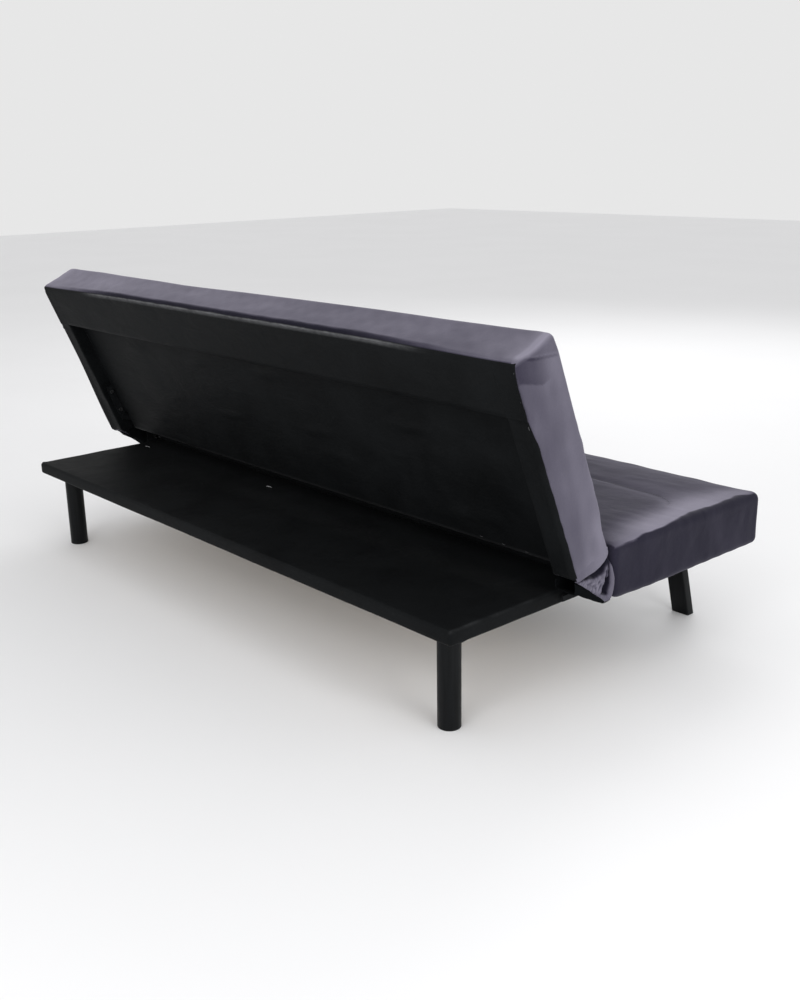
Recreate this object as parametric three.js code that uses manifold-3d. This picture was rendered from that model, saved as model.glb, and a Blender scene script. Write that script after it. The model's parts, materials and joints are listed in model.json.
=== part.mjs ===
// A three-seat click clack sofa bed: a fixed seat bolted to a low rear base, and a backrest that
// clicks down level with the seat on a ratchet hinge at each end.
// Millimetres, +Z up. X runs along the seat, the seat's front faces -Y and the base's rear edge +Y.
// The origin is on the floor, under the middle of the sofa's outer box.
import * as THREE from "three";
import { mergeVertices } from "three/addons/utils/BufferGeometryUtils.js";
import Module from "manifold-3d";

const wasm = await Module();
wasm.setup();

// Driving dimensions, in millimetres and degrees

const sofa = {
  length: 1800, // seat and backrest, end to end
  depth: 906, // seat front to the base's rear edge, sitting up
};

const fit = {
  gap: 0.3, // between neighbours that touch
  overrun: 2, // how far a cut passes the faces it opens
  skin: 2.4, // velvet with its batting
  lining: 1, // black non-woven cloth
  play: 0.3, // a pin or bolt in its hole, all round
};

const seat = {
  depth: 521,
  underside: 212, // above the floor
  thickness: 112, // underside to the top edges
  crown: 9, // rise of the padded top between its edges
  drawIn: 5, // how far the padded sides pull in between the corners
  edgeRadius: 18,
  turnUnder: 20, // velvet stapled round under the frame
  deck: 8, // plywood under the foam
  frameHeight: 47.3, // rails under the deck
  frontRail: 60,
  crossRail: 48,
  crossRailInset: 4, // middle cross rail behind the base's front edge
  channelFromFront: 194, // sewn line along the seat
  channelDepth: 6,
};

const channel = {
  width: 15, // from the stitching to where the pad is full again
  fromEnd: 150, // pad's end to where the straight run ends
  hook: 69, // how far each hooked end runs on along the pad
  hookRise: 43, // how far each hooked end turns away
};

const base = {
  underSeat: 175, // how far the base reaches under the seat
  thickness: 28,
  standsInSeat: 25, // how far the base stands up inside the seat's underside
  edgeRadius: 7,
  cloth: 1.2, // non-woven wrapped round the base
  turnUnder: 33,
  panel: 4,
  rearRailWidth: 90,
  endRailWidth: 90,
  frontRailWidth: 58,
  middleRailWidth: 70,
};

const rearLeg = {
  diameter: 47.4,
  fromRear: 62, // base's rear edge to the leg's axis
  fromEnd: 67.5, // base's end to the leg's axis
  footRound: 2,
};

const frontLeg = {
  width: 46.5, // along the seat
  thickness: 24, // front to back
  fromFront: 29, // seat front to the leg's front face
  fromEnd: 132, // seat end to the foot's outer edge
  splay: 12.3, // degrees outwards from upright
  cornerRadius: 3,
  footRound: 1,
};

const back = {
  length: 483.5, // up the panel
  thickness: 107,
  lean: 22.2, // degrees from upright
  creaseGap: 13.8, // lower front corner behind the seat
  creaseDrop: 9.6, // lower front corner below the seat's top edge
  crown: 8,
  drawIn: 4,
  edgeRadius: 13,
  turnRound: 11, // velvet stapled round on to the rear face
  recess: 35, // depth of the hollow in the rear face
  topBoard: 117.5, // height of the board above the hollow
  topBoardThickness: 18,
  topRail: 44,
  sideRail: 52,
  frameDepth: 59.3,
  panel: 4.7,
  lowerRail: 60,
  lowerRailUp: 5,
  channelFromTop: 175,
  channelDepth: 5,
};

const hinge = {
  plate: 3,
  pivotDepth: 92.7, // pivot axis in front of the backrest's rear face
  boss: 11.5,
  pinRadius: 5,
  pinHead: 9.5,
  pinHeadHeight: 2.4,
  pocket: 20, // width of the slot that the hinge works in
  pocketUp: 40, // how far the slot runs up the backrest
  pocketInto: 14, // how far the slot runs into the seat's rear end
  ratchetRadius: 23,
  ratchetLow: -155, // toothed rim, in degrees from +Y, sitting up
  ratchetHigh: -55,
  pawlAngle: -135, // where the pawl meets the rim
  notchRadius: 3.2,
  noseRadius: 2.4,
  noseClear: 0.4,
  pawlReach: 24.5, // pawl's rivet below its nose
  pawlAside: 4, // pawl's rivet behind its nose
  pawlHalfWidth: 4.2,
  pawlBoss: 6,
  pawlTail: 18,
  pawlStemShare: 0.75, // of the way from rivet to nose, where the pawl narrows
  rivetRadius: 3,
  rivetHead: 5,
  studRadius: 1.8,
  neckHalfWidth: 9,
  armLow: 14, // edges of the backrest arm, in front of the rear face
  armHigh: 33,
  armStart: 40, // along the backrest
  armEnd: 150,
  joggle: 12,
  legReach: 135, // how far the seat arm runs forward of the pocket
  legHeight: 38,
  legUp: 7, // seat arm above the seat's underside
  toe: 85, // how far the stop toe runs behind the seat
  toeUp: 1.5,
  bolt: 3, // radius
  boltHead: 6,
  boltHeadHeight: 2.6,
  boltGrip: 30,
  boltFromEnd: 18,
  boltSpacing: 36, // between the two bolts of the seat arm
};

const spring = {
  wire: 0.7, // radius
  coil: 3.1, // radius to the middle of the wire
  curls: 14,
  anchorReach: 60, // pawl stud to the fixed stud
  lead: 5, // wire between each end and the first curl
  stub: 1.4, // straight part of the lead
};

const fixing = {
  radius: 4, // leg and frame bolts
  headRadius: 9,
  headHeight: 3,
  legGrip: 42,
  fromEnd: 250, // frame bolts from the base's ends
};

const pleat = {
  wall: 50, // thickness of the folded velvet at each end
  endInset: 1,
  lowShare: 0.2, // of the backrest's thickness, where the pleat leaves it
  dropShare: 0.2,
  tuckShare: 0.25,
};

// Facets: how finely round and padded shapes are cut

const facets = { round: 24, bolt: 10, edge: 2, baseEdge: 1, wireSides: 5, curlSteps: 8 };
const padCells = { length: 6, width: 4, height: 2 };

// Powers that shape a padded form: higher is flatter in the middle and steeper at the edge
const padCurve = { face: 3, crown: 6, draw: 2, wall: 7 };

// Places worked out from the dimensions

const rad = THREE.MathUtils.degToRad;
const halfLength = sofa.length / 2;
const frontY = -sofa.depth / 2;
const rearY = sofa.depth / 2;
const seatRearY = frontY + seat.depth;
const seatTop = seat.underside + seat.thickness;
const baseTop = seat.underside + base.standsInSeat;
const baseUnder = baseTop - base.thickness;
const baseFrontY = seatRearY - base.underSeat;
const inner = fit.skin + fit.gap;
const railTop = seat.underside + inner + seat.frameHeight;
const deckTop = railTop + fit.gap + seat.deck;

// The backrest's own frame: +Z runs up the panel from its lower end, and -Y runs from the rear face
// to the front.
const lean = rad(back.lean);
const upward = new THREE.Vector2(Math.sin(lean), Math.cos(lean));
const forward = new THREE.Vector2(-Math.cos(lean), Math.sin(lean));
const backCorner = new THREE.Vector2(seatRearY + back.creaseGap, seatTop - back.creaseDrop)
  .addScaledVector(forward, -back.thickness);
const onBack = (up, depth) =>
  backCorner.clone().addScaledVector(upward, up).addScaledVector(forward, depth);

// The pivot lies where the backrest's rear face comes down level with the seat's underside.
const pivotUp =
  (seat.underside + hinge.pivotDepth - backCorner.y - hinge.pivotDepth * forward.y) / upward.y;
const pivot = onBack(pivotUp, hinge.pivotDepth);
const fullTurn = 90 - back.lean;

// Layers of the hinge, from the backrest's side rail inwards to the base's end
const railInnerX = halfLength - inner - back.sideRail;
const armOuterX = railInnerX - fit.gap - fit.lining - fit.gap;
const armInnerX = armOuterX - hinge.plate;
const hubOuterX = armInnerX - fit.gap;
const hubInnerX = hubOuterX - hinge.plate;
const headOuterX = hubInnerX - fit.gap;
const pocketX = railInnerX - hinge.pocket;
const baseEnd = headOuterX - hinge.pinHeadHeight - fit.gap;

const nose = new THREE.Vector2()
  .setX(Math.cos(rad(hinge.pawlAngle)))
  .setY(Math.sin(rad(hinge.pawlAngle)))
  .multiplyScalar(hinge.ratchetRadius + hinge.noseClear + hinge.noseRadius)
  .add(pivot);
const rivet = new THREE.Vector2(nose.x + hinge.pawlAside, nose.y - hinge.pawlReach);
const tail = new THREE.Vector2(rivet.x, rivet.y - hinge.pawlTail);
const anchor = new THREE.Vector2(tail.x - spring.anchorReach, tail.y);

// Materials

const finish = (color, roughness, metalness = 0) =>
  new THREE.MeshStandardMaterial({ color, roughness, metalness });
const velvet = () => finish(0x625e6c, 0.85);
const nonWoven = () => finish(0x17181a, 0.9);
const blackPaint = () => finish(0x1f2326, 0.45);
const timber = () => finish(0xc9a878, 0.8);
const plywood = () => finish(0xb8935f, 0.8);
const foam = () => finish(0xe6dfb8, 0.95);
const zincSteel = () => finish(0x9a9c9f, 0.4, 0.9);
const blackSteel = () => finish(0x2a2b2d, 0.5, 0.7);

// Solids

// A closed geometry as a solid that can be cut and joined.
function solid(geometry) {
  const bare = geometry.clone();
  for (const name of Object.keys(bare.attributes)) {
    if (name !== "position") bare.deleteAttribute(name);
  }
  const merged = mergeVertices(bare);
  return new wasm.Manifold(
    new wasm.Mesh({
      numProp: 3,
      vertProperties: new Float32Array(merged.attributes.position.array),
      triVerts: new Uint32Array(merged.index.array),
    }),
  );
}

function geometryOf(shape) {
  const mesh = shape.getMesh();
  const geometry = new THREE.BufferGeometry();
  geometry.setAttribute("position", new THREE.BufferAttribute(mesh.vertProperties, 3));
  geometry.setIndex(new THREE.BufferAttribute(mesh.triVerts, 1));
  return geometry;
}

const join = (...shapes) => shapes.reduce((whole, shape) => whole.add(shape));
const cut = (shape, ...tools) => tools.reduce((left, tool) => left.subtract(tool), shape);

function block([x0, x1], [y0, y1], [z0, z1]) {
  const box = new THREE.BoxGeometry(x1 - x0, y1 - y0, z1 - z0);
  return solid(box.translate((x0 + x1) / 2, (y0 + y1) / 2, (z0 + z1) / 2));
}

// A prism along X from an outline of [y, z] points.
function prism(outline, [x0, x1]) {
  const shape = new THREE.Shape(outline.map(([y, z]) => new THREE.Vector2(y, z)));
  const slab = new THREE.ExtrudeGeometry(shape, { depth: x1 - x0, bevelEnabled: false });
  const turn = new THREE.Matrix4().set(0, 0, 1, x0, 1, 0, 0, 0, 0, 1, 0, 0, 0, 0, 0, 1);
  return solid(slab.applyMatrix4(turn));
}

// A round bar along X through the point at.
function barX(radius, [x0, x1], at, sides = facets.round) {
  const bar = new THREE.CylinderGeometry(radius, radius, x1 - x0, sides);
  return solid(bar.rotateZ(Math.PI / 2).translate((x0 + x1) / 2, at.x, at.y));
}

// A solid of revolution about an upright axis, from [radius, height] points.
function turned(profile, x, y, sides = facets.round) {
  const points = profile.map(([radius, height]) => new THREE.Vector2(radius, height));
  const body = new THREE.LatheGeometry(points, sides);
  return solid(body.rotateX(Math.PI / 2).translate(x, y, 0));
}

// A flat link with round ends, in the plane across X.
function link(from, to, halfWidth, span, sides = facets.round) {
  const along = to.clone().sub(from).setLength(halfWidth);
  const aside = new THREE.Vector2(-along.y, along.x);
  const corners = [
    from.clone().sub(aside),
    to.clone().sub(aside),
    to.clone().add(aside),
    from.clone().add(aside),
  ];
  return join(
    prism(corners.map((p) => [p.x, p.y]), span),
    barX(halfWidth, span, from, sides),
    barX(halfWidth, span, to, sides),
  );
}

// Grid lines along one side of a padded form: close together round its edges, even between them.
function gridLines(half, radius, cells, extra = [], edge = facets.edge) {
  const lines = [];
  for (let i = 0; i <= edge; i++) {
    const turn = (Math.PI / 4) * (1 - i / edge);
    lines.push(-half + radius * (1 - Math.tan(turn)));
  }
  const flat = half - radius;
  for (let i = 1; i < cells; i++) lines.push(-flat + (2 * flat * i) / cells);
  const clear = (line) => extra.every((spot) => Math.abs(spot - line) > flat / cells / 2);
  const kept = lines.filter((line) => Math.abs(line) >= flat || clear(line));
  for (const line of kept.slice(0, edge + 1)) kept.push(-line);
  kept.push(...extra);
  return [...new Set(kept)].sort((a, b) => a - b);
}

// A closed form on a box's grid: rounded edges first, then the given change to each point.
function padForm(half, radius, lines, change) {
  const points = [];
  const quad = (a, b, c, d) => points.push(...a, ...b, ...c, ...a, ...c, ...d);
  const faces = [
    [0, 1, 2],
    [1, 2, 0],
    [2, 0, 1],
  ];
  for (const [u, v, w] of faces) {
    for (const side of [-1, 1]) {
      const at = (p, q) => {
        const place = [0, 0, 0];
        place[u] = p;
        place[v] = q;
        place[w] = side * half[w];
        return place;
      };
      for (let i = 1; i < lines[u].length; i++) {
        for (let j = 1; j < lines[v].length; j++) {
          const a = at(lines[u][i - 1], lines[v][j - 1]);
          const b = at(lines[u][i], lines[v][j - 1]);
          const c = at(lines[u][i], lines[v][j]);
          const d = at(lines[u][i - 1], lines[v][j]);
          if (side > 0) quad(a, b, c, d);
          else quad(a, d, c, b);
        }
      }
    }
  }
  const place = new THREE.Vector3();
  const core = new THREE.Vector3();
  const limit = new THREE.Vector3(...half).subScalar(radius);
  for (let i = 0; i < points.length; i += 3) {
    place.fromArray(points, i);
    core.copy(place).clamp(limit.clone().negate(), limit);
    place.sub(core).setLength(radius).add(core);
    change(place);
    place.toArray(points, i);
  }
  const geometry = new THREE.BufferGeometry();
  geometry.setAttribute("position", new THREE.Float32BufferAttribute(points, 3));
  return solid(geometry);
}

// How far a sewn channel presses in at a place along (x) and across (y, from the channel) a pad.
function channelPress(x, y, straight, depth) {
  const past = Math.abs(x) - straight / 2;
  const share = THREE.MathUtils.clamp(past / channel.hook, 0, 1);
  const bend = channel.hookRise * (1 - Math.sqrt(1 - share * share));
  const off = Math.hypot(y - bend, Math.max(0, past - channel.hook));
  return depth * Math.exp(-((off / channel.width) ** 2));
}

const fall = (place, half, power) => Math.max(0, 1 - Math.abs(place / half) ** power);
const steepen = (share, power) => Math.sign(share) * Math.min(1, Math.abs(share)) ** power;

// The padded outline of the seat or the backrest, taken in by a wall: length along X, width along Y
// and height along Z, with its padded face at faceUp along Z or, on the backrest, along -Y.
function padShape(size, faceAxis, wall) {
  const half = size.half.map((h) => h - wall);
  const radius = size.radius - wall;
  const [across, deep] = faceAxis === 2 ? [1, 2] : [2, 1];
  const sense = faceAxis === 2 ? 1 : -1;
  const spots = [-channel.width, 0, channel.width].map((d) => size.channelAt + d);
  const hook = size.straight / 2 + channel.hook;
  const alongSpots = [-hook, -size.straight / 2, size.straight / 2, hook];
  const lines = [0, 0, 0];
  lines[0] = gridLines(half[0], radius, padCells.length, alongSpots);
  lines[across] = gridLines(half[across], radius, padCells.width, spots);
  lines[deep] = gridLines(half[deep], radius, padCells.height);
  return padForm(half, radius, lines, (place) => {
    const x = place.x;
    const y = place.getComponent(across);
    const depth = place.getComponent(deep) * sense;
    const top = THREE.MathUtils.clamp(depth / half[deep], 0, 1) ** padCurve.face;
    const crown = fall(x, half[0], padCurve.crown) * fall(y, half[across], padCurve.crown);
    const lift = size.crown * crown;
    const side = size.channelSide * (y - size.channelAt);
    const press = channelPress(x, side, size.straight, size.channelDepth);
    const middle = size.drawIn * fall(depth, half[deep], padCurve.draw);
    const pullX = middle * fall(y, half[across], padCurve.draw);
    const pullY = middle * fall(x, half[0], padCurve.draw);
    place.x -= pullX * steepen(x / half[0], padCurve.wall);
    place.setComponent(across, y - pullY * steepen(y / half[across], padCurve.wall));
    place.setComponent(deep, (depth + top * (lift - press)) * sense);
  });
}

const seatMiddle = {
  y: (frontY + seatRearY) / 2,
  z: seat.underside + seat.thickness / 2,
};

function seatForm(wall) {
  const size = {
    half: [halfLength, seat.depth / 2, seat.thickness / 2],
    radius: seat.edgeRadius,
    crown: seat.crown,
    drawIn: seat.drawIn,
    straight: sofa.length - 2 * channel.fromEnd,
    channelAt: -seat.depth / 2 + seat.channelFromFront,
    channelDepth: seat.channelDepth,
    channelSide: 1,
  };
  return padShape(size, 2, wall).translate([0, seatMiddle.y, seatMiddle.z]);
}

function backForm(wall) {
  const size = {
    half: [halfLength, back.thickness / 2, back.length / 2],
    radius: back.edgeRadius,
    crown: back.crown,
    drawIn: back.drawIn,
    straight: sofa.length - 2 * channel.fromEnd,
    channelAt: back.length / 2 - back.channelFromTop,
    channelDepth: back.channelDepth,
    channelSide: -1,
  };
  return padShape(size, 1, wall).translate([0, -back.thickness / 2, back.length / 2]);
}

// The base's outline, taken in by a wall.
function baseForm(wall) {
  const depth = rearY - baseFrontY;
  const half = [baseEnd, depth / 2, base.thickness / 2].map((h) => h - wall);
  const radius = base.edgeRadius - wall;
  const lines = half.map((h) => gridLines(h, radius, 1, [], facets.baseEdge));
  const form = padForm(half, radius, lines, () => {});
  return form.translate([0, rearY - depth / 2, baseTop - base.thickness / 2]);
}

// The slots in which the two hinges work, as solids to cut away.
function seatPockets() {
  const deep = [seatRearY - hinge.pocketInto, seatRearY + fit.overrun];
  return [-1, 1].map((side) =>
    block(spanX(side, pocketX, railInnerX), deep, [
      seat.underside - fit.overrun,
      pivot.y + hinge.boss,
    ]),
  );
}

function backPockets(up = hinge.pocketUp) {
  return [-1, 1].map((side) =>
    block(
      spanX(side, pocketX, railInnerX),
      [-back.thickness + fit.skin, fit.overrun],
      [-fit.overrun, up],
    ),
  );
}

const spanX = (side, x0, x1) => (side > 0 ? [x0, x1] : [-x1, -x0]);

// Scene graph

const root = new THREE.Group();
const backGroup = new THREE.Group();
backGroup.position.set(0, backCorner.x, backCorner.y);
backGroup.rotation.x = -lean;
root.add(backGroup);

function place(group, name, shape, material) {
  const mesh = new THREE.Mesh(geometryOf(shape), material);
  mesh.name = name;
  group.add(mesh);
}

const ends = [
  { side: -1, end: "left" },
  { side: 1, end: "right" },
];

// Base: a low frame under the seat that carries the rear legs and reaches back under the backrest

const clothed = base.cloth + fit.gap;
const panelUnder = baseTop - clothed - base.panel;
const railSpan = [baseUnder + clothed, panelUnder - fit.gap];
const frameBolts = [
  seatRearY - seat.crossRail / 2 - inner,
  baseFrontY + seat.crossRailInset + seat.crossRail / 2,
];

// Bolts come up through the base and into the seat's cross rails.
function frameBolt(x, y) {
  const under = railSpan[0];
  const tip = railTop - fit.gap;
  return turned(
    [
      [0, under],
      [fixing.headRadius, under],
      [fixing.headRadius, under + fixing.headHeight],
      [fixing.radius, under + fixing.headHeight],
      [fixing.radius, tip],
      [0, tip],
    ],
    x,
    y,
    facets.bolt,
  );
}

function frameBoltHole(x, y) {
  const under = railSpan[0] - fit.overrun;
  const head = railSpan[0] + fixing.headHeight + fit.gap;
  return turned(
    [
      [0, under],
      [fixing.headRadius + fit.play, under],
      [fixing.headRadius + fit.play, head],
      [fixing.radius + fit.play, head],
      [fixing.radius + fit.play, railTop + fit.overrun],
      [0, railTop + fit.overrun],
    ],
    x,
    y,
    facets.bolt,
  );
}

const boltX = baseEnd - fixing.fromEnd;
const frameBoltHoles = () =>
  ends.flatMap(({ side }) => frameBolts.map((y) => frameBoltHole(side * boltX, y)));

const legX = baseEnd - rearLeg.fromEnd;
const legY = rearY - rearLeg.fromRear;

function legBoltHole(x, y, low, high) {
  const radius = fixing.radius + fit.play;
  return turned([[0, low], [radius, low], [radius, high], [0, high]], x, y, facets.bolt);
}

function rearLegBoltSpan() {
  return [railSpan[0] - fixing.legGrip, railSpan[1] - fit.gap];
}

function buildBase() {
  const outline = baseForm(clothed);
  const piece = (xs, ys) => block(xs, ys, railSpan).intersect(outline);
  const acrossX = [-baseEnd + base.endRailWidth + fit.gap, baseEnd - base.endRailWidth - fit.gap];
  const middleY = frameBolts[0] - base.middleRailWidth / 2;
  const legHoles = ends.map(({ side }) => {
    const [low, high] = rearLegBoltSpan();
    return legBoltHole(side * legX, legY, low, high + fit.overrun);
  });
  const rails = {
    base_rear_rail: piece(acrossX, [rearY - base.rearRailWidth, rearY]),
    base_middle_rail: piece(acrossX, [middleY, middleY + base.middleRailWidth]),
    base_front_rail: piece(acrossX, [baseFrontY, baseFrontY + base.frontRailWidth]),
    base_end_rail_left: piece([-baseEnd, -baseEnd + base.endRailWidth], [baseFrontY, rearY]),
    base_end_rail_right: piece([baseEnd - base.endRailWidth, baseEnd], [baseFrontY, rearY]),
  };
  for (const [name, rail] of Object.entries(rails)) {
    place(root, name, cut(rail, ...legHoles, ...frameBoltHoles()), timber());
  }
  const panel = block([-baseEnd, baseEnd], [baseFrontY, rearY], [panelUnder, baseTop]);
  place(root, "base_panel", cut(panel.intersect(outline), ...frameBoltHoles()), plywood());
  const opening = block(
    [-baseEnd + base.turnUnder, baseEnd - base.turnUnder],
    [baseFrontY + base.turnUnder, rearY - base.turnUnder],
    [baseUnder - fit.overrun, baseUnder + fit.overrun],
  );
  const wrap = cut(baseForm(0), baseForm(base.cloth), opening, ...frameBoltHoles());
  place(root, "base_cloth", wrap, nonWoven());
  for (const { side, end } of ends) {
    frameBolts.forEach((y, i) => {
      place(root, `frame_bolt_${end}_${i + 1}`, frameBolt(side * boltX, y), zincSteel());
    });
  }
}

// Legs

function buildRearLegs() {
  const radius = rearLeg.diameter / 2;
  const top = railSpan[0] - fit.gap;
  const [low, high] = rearLegBoltSpan();
  for (const { side, end } of ends) {
    const post = turned(
      [
        [0, 0],
        [radius - rearLeg.footRound, 0],
        [radius, rearLeg.footRound],
        [radius, top],
        [0, top],
      ],
      side * legX,
      legY,
    );
    const hole = legBoltHole(side * legX, legY, low - fit.gap, top + fit.overrun);
    place(root, `rear_leg_${end}`, cut(post, hole), blackPaint());
    const bolt = turned(
      [[0, low], [fixing.radius, low], [fixing.radius, high], [0, high]],
      side * legX,
      legY,
      facets.bolt,
    );
    place(root, `rear_leg_bolt_${end}`, bolt, zincSteel());
  }
}

const liningUnder = seat.underside + fit.skin / 2;
const frontLegTop = liningUnder - fit.gap;
const frontLegY = frontY + frontLeg.fromFront + frontLeg.thickness / 2;
const splay = Math.tan(rad(frontLeg.splay));
const frontBoltX =
  halfLength - frontLeg.fromEnd - frontLeg.width / 2 - frontLegTop * splay;

function frontLegBoltSpan() {
  return [frontLegTop - fixing.legGrip, railTop - fixing.headHeight];
}

function frontLegShape(side) {
  const { width, thickness, cornerRadius: r } = frontLeg;
  const [w, t] = [width / 2, thickness / 2];
  const section = new THREE.Shape();
  section.moveTo(-w + r, -t).lineTo(w - r, -t).absarc(w - r, -t + r, r, -Math.PI / 2, 0, false);
  section.lineTo(w, t - r).absarc(w - r, t - r, r, 0, Math.PI / 2, false);
  section.lineTo(-w + r, t).absarc(-w + r, t - r, r, Math.PI / 2, Math.PI, false);
  section.lineTo(-w, -t + r).absarc(-w + r, -t + r, r, Math.PI, 1.5 * Math.PI, false);
  const leg = new THREE.ExtrudeGeometry(section, {
    depth: frontLegTop - 2 * frontLeg.footRound,
    bevelThickness: frontLeg.footRound,
    bevelSize: frontLeg.footRound,
    bevelOffset: -frontLeg.footRound,
    bevelSegments: 1,
    curveSegments: 3,
  });
  leg.translate(0, 0, frontLeg.footRound);
  const slant = new THREE.Matrix4().makeShear(0, 0, 0, 0, -side * splay, 0);
  leg.applyMatrix4(slant);
  const footX = side * (halfLength - frontLeg.fromEnd - frontLeg.width / 2);
  return solid(leg.translate(footX, frontLegY, 0));
}

function buildFrontLegs() {
  const [low, high] = frontLegBoltSpan();
  const profile = [[0, low], [fixing.radius, low], [fixing.radius, high], [0, high]];
  for (const { side, end } of ends) {
    const x = side * frontBoltX;
    const hole = legBoltHole(x, frontLegY, low - fit.gap, high);
    place(root, `front_leg_${end}`, cut(frontLegShape(side), hole), blackPaint());
    const bolt = turned(profile, x, frontLegY, facets.bolt);
    place(root, `front_leg_bolt_${end}`, bolt, zincSteel());
  }
}

// Seat: rails and a deck under a foam pad, inside a velvet cover

function seatBoltHoles() {
  return ends.flatMap(({ side }) =>
    seatArmBolts().map((at) =>
      barX(hinge.bolt + fit.play, spanX(side, pocketX, railInnerX + hinge.boltGrip), at, facets.bolt),
    ),
  );
}

function buildSeatFrame() {
  const outline = seatForm(inner);
  const low = seat.underside + inner;
  const sideInnerX = armOuterX + fit.gap;
  const rearEdge = seatRearY - inner;
  const acrossX = [-sideInnerX + fit.gap, sideInnerX - fit.gap];
  const shortX = [-pocketX + fit.gap, pocketX - fit.gap];
  const onBase = [baseTop + fit.gap, railTop];
  const legHoles = ends.map(({ side }) => {
    const [bottom, top] = frontLegBoltSpan();
    return legBoltHole(side * frontBoltX, frontLegY, bottom, top + fit.gap);
  });
  const middleY = baseFrontY + seat.crossRailInset;
  const rails = {
    seat_front_rail: block(acrossX, [frontY, frontY + seat.frontRail], [low, railTop]),
    seat_middle_rail: block(shortX, [middleY, middleY + seat.crossRail], onBase),
    seat_rear_rail: block(shortX, [rearEdge - seat.crossRail, rearEdge], onBase),
  };
  for (const { side, end } of ends) {
    rails[`seat_side_rail_${end}`] = block(
      spanX(side, sideInnerX, halfLength),
      [frontY, seatRearY],
      [low, railTop],
    );
  }
  for (const [name, rail] of Object.entries(rails)) {
    const holes = [...legHoles, ...frameBoltHoles(), ...seatBoltHoles()];
    place(root, name, cut(rail.intersect(outline), ...holes), timber());
  }
  const inset = inner + seat.drawIn;
  const deck = block(
    [-halfLength + inset, halfLength - inset],
    [frontY + inset, seatRearY - inset],
    [railTop + fit.gap, deckTop],
  );
  place(root, "seat_deck", cut(deck, ...seatPockets()), plywood());
}

function buildSeatPad() {
  const aboveDeck = block(
    [-halfLength, halfLength],
    [frontY, seatRearY],
    [deckTop + fit.gap, seatTop + seat.thickness],
  );
  place(root, "seat_foam", cut(seatForm(inner).intersect(aboveDeck), ...seatPockets()), foam());
  const opening = block(
    [-halfLength + seat.turnUnder, halfLength - seat.turnUnder],
    [frontY + seat.turnUnder, seatRearY + fit.overrun],
    [seat.underside - fit.overrun, seat.underside + fit.skin + fit.overrun],
  );
  const rearWay = block(
    [-baseEnd, baseEnd],
    [seatRearY - hinge.pocketInto, seatRearY + fit.overrun],
    [seat.underside - fit.overrun, baseTop + fit.gap],
  );
  const cover = cut(seatForm(0), seatForm(fit.skin), opening, rearWay, ...seatPockets());
  place(root, "seat_cover", cover, velvet());
  const reach = halfLength - seat.turnUnder - fit.gap;
  const sheet = block(
    [-reach, reach],
    [frontY + seat.turnUnder + fit.gap, baseFrontY - fit.gap],
    [liningUnder, liningUnder + fit.lining],
  );
  const holes = ends.map(({ side }) => {
    const [low, high] = frontLegBoltSpan();
    return legBoltHole(side * frontBoltX, frontLegY, low, high);
  });
  place(root, "seat_lining", cut(sheet, ...holes), nonWoven());
}

// Backrest, in its own frame

const skinned = fit.lining + fit.gap;

const depthSpan = (rear, front) => [-front, -rear];

function backBoltHoles(radius) {
  return ends.flatMap(({ side }) =>
    backArmBolts().map((at) =>
      barX(radius, spanX(side, pocketX, railInnerX + hinge.boltGrip), at, facets.bolt),
    ),
  );
}

const hollowTop = back.length - back.topBoard;

function buildBackFrame() {
  const outline = backForm(inner).intersect(
    block(
      [-halfLength, halfLength],
      depthSpan(skinned, back.thickness),
      [0, back.length],
    ),
  );
  const holes = backBoltHoles(hinge.bolt + fit.play);
  const betweenX = [-railInnerX + fit.gap, railInnerX - fit.gap];
  const shortX = [-pocketX + fit.gap, pocketX - fit.gap];
  const front = back.frameDepth;
  const boardFront = skinned + back.topBoardThickness;
  const panelRear = back.recess + fit.lining + fit.gap;
  const lipRear = panelRear + back.panel + fit.gap;
  const boardUp = hollowTop + fit.lining + fit.gap;
  const rails = {
    back_top_board: block(betweenX, depthSpan(skinned, boardFront), [boardUp, back.length]),
    back_top_rail: block(betweenX, depthSpan(boardFront + fit.gap, front), [
      boardUp,
      boardUp + back.topRail,
    ]),
    back_lower_rail: block(shortX, depthSpan(lipRear, front), [
      back.lowerRailUp,
      back.lowerRailUp + back.lowerRail,
    ]),
  };
  for (const { side, end } of ends) {
    rails[`back_side_rail_${end}`] = block(
      spanX(side, railInnerX, halfLength),
      depthSpan(0, front),
      [0, back.length],
    );
  }
  for (const [name, rail] of Object.entries(rails)) {
    place(backGroup, name, cut(rail.intersect(outline), ...holes), timber());
  }
  const panel = block(betweenX, depthSpan(panelRear, panelRear + back.panel), [
    fit.skin,
    boardUp - fit.gap,
  ]);
  const notches = backPockets(hinge.armStart + hinge.joggle + hinge.neckHalfWidth);
  place(backGroup, "back_panel", cut(panel.intersect(outline), ...notches), plywood());
}

// Black cloth over the rear: the board and rails, the walls of the hollow and its floor.
function backLining() {
  const face = block(
    [-halfLength + back.turnRound + fit.gap, halfLength - back.turnRound - fit.gap],
    depthSpan(0, fit.lining),
    [back.turnRound + fit.gap, back.length - back.turnRound - fit.gap],
  );
  const outerX = railInnerX - fit.gap;
  const hollow = block([-outerX, outerX], depthSpan(-fit.overrun, back.recess + fit.lining), [
    -fit.overrun,
    hollowTop + fit.lining,
  ]);
  const lined = block([-outerX, outerX], depthSpan(0, back.recess + fit.lining), [
    inner,
    hollowTop + fit.lining,
  ]);
  const airX = outerX - fit.lining;
  const air = block([-airX, airX], depthSpan(-fit.overrun, back.recess), [
    -fit.overrun,
    hollowTop,
  ]);
  const notches = backPockets(hinge.armStart + hinge.joggle + hinge.neckHalfWidth).map((pocket) =>
    pocket.intersect(block([-airX, airX], depthSpan(back.recess - fit.lining, back.thickness), [
      -fit.overrun,
      back.length,
    ])),
  );
  const whole = join(cut(face, hollow), lined);
  return cut(whole, air, ...notches, ...backBoltHoles(hinge.bolt + fit.play));
}

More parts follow.
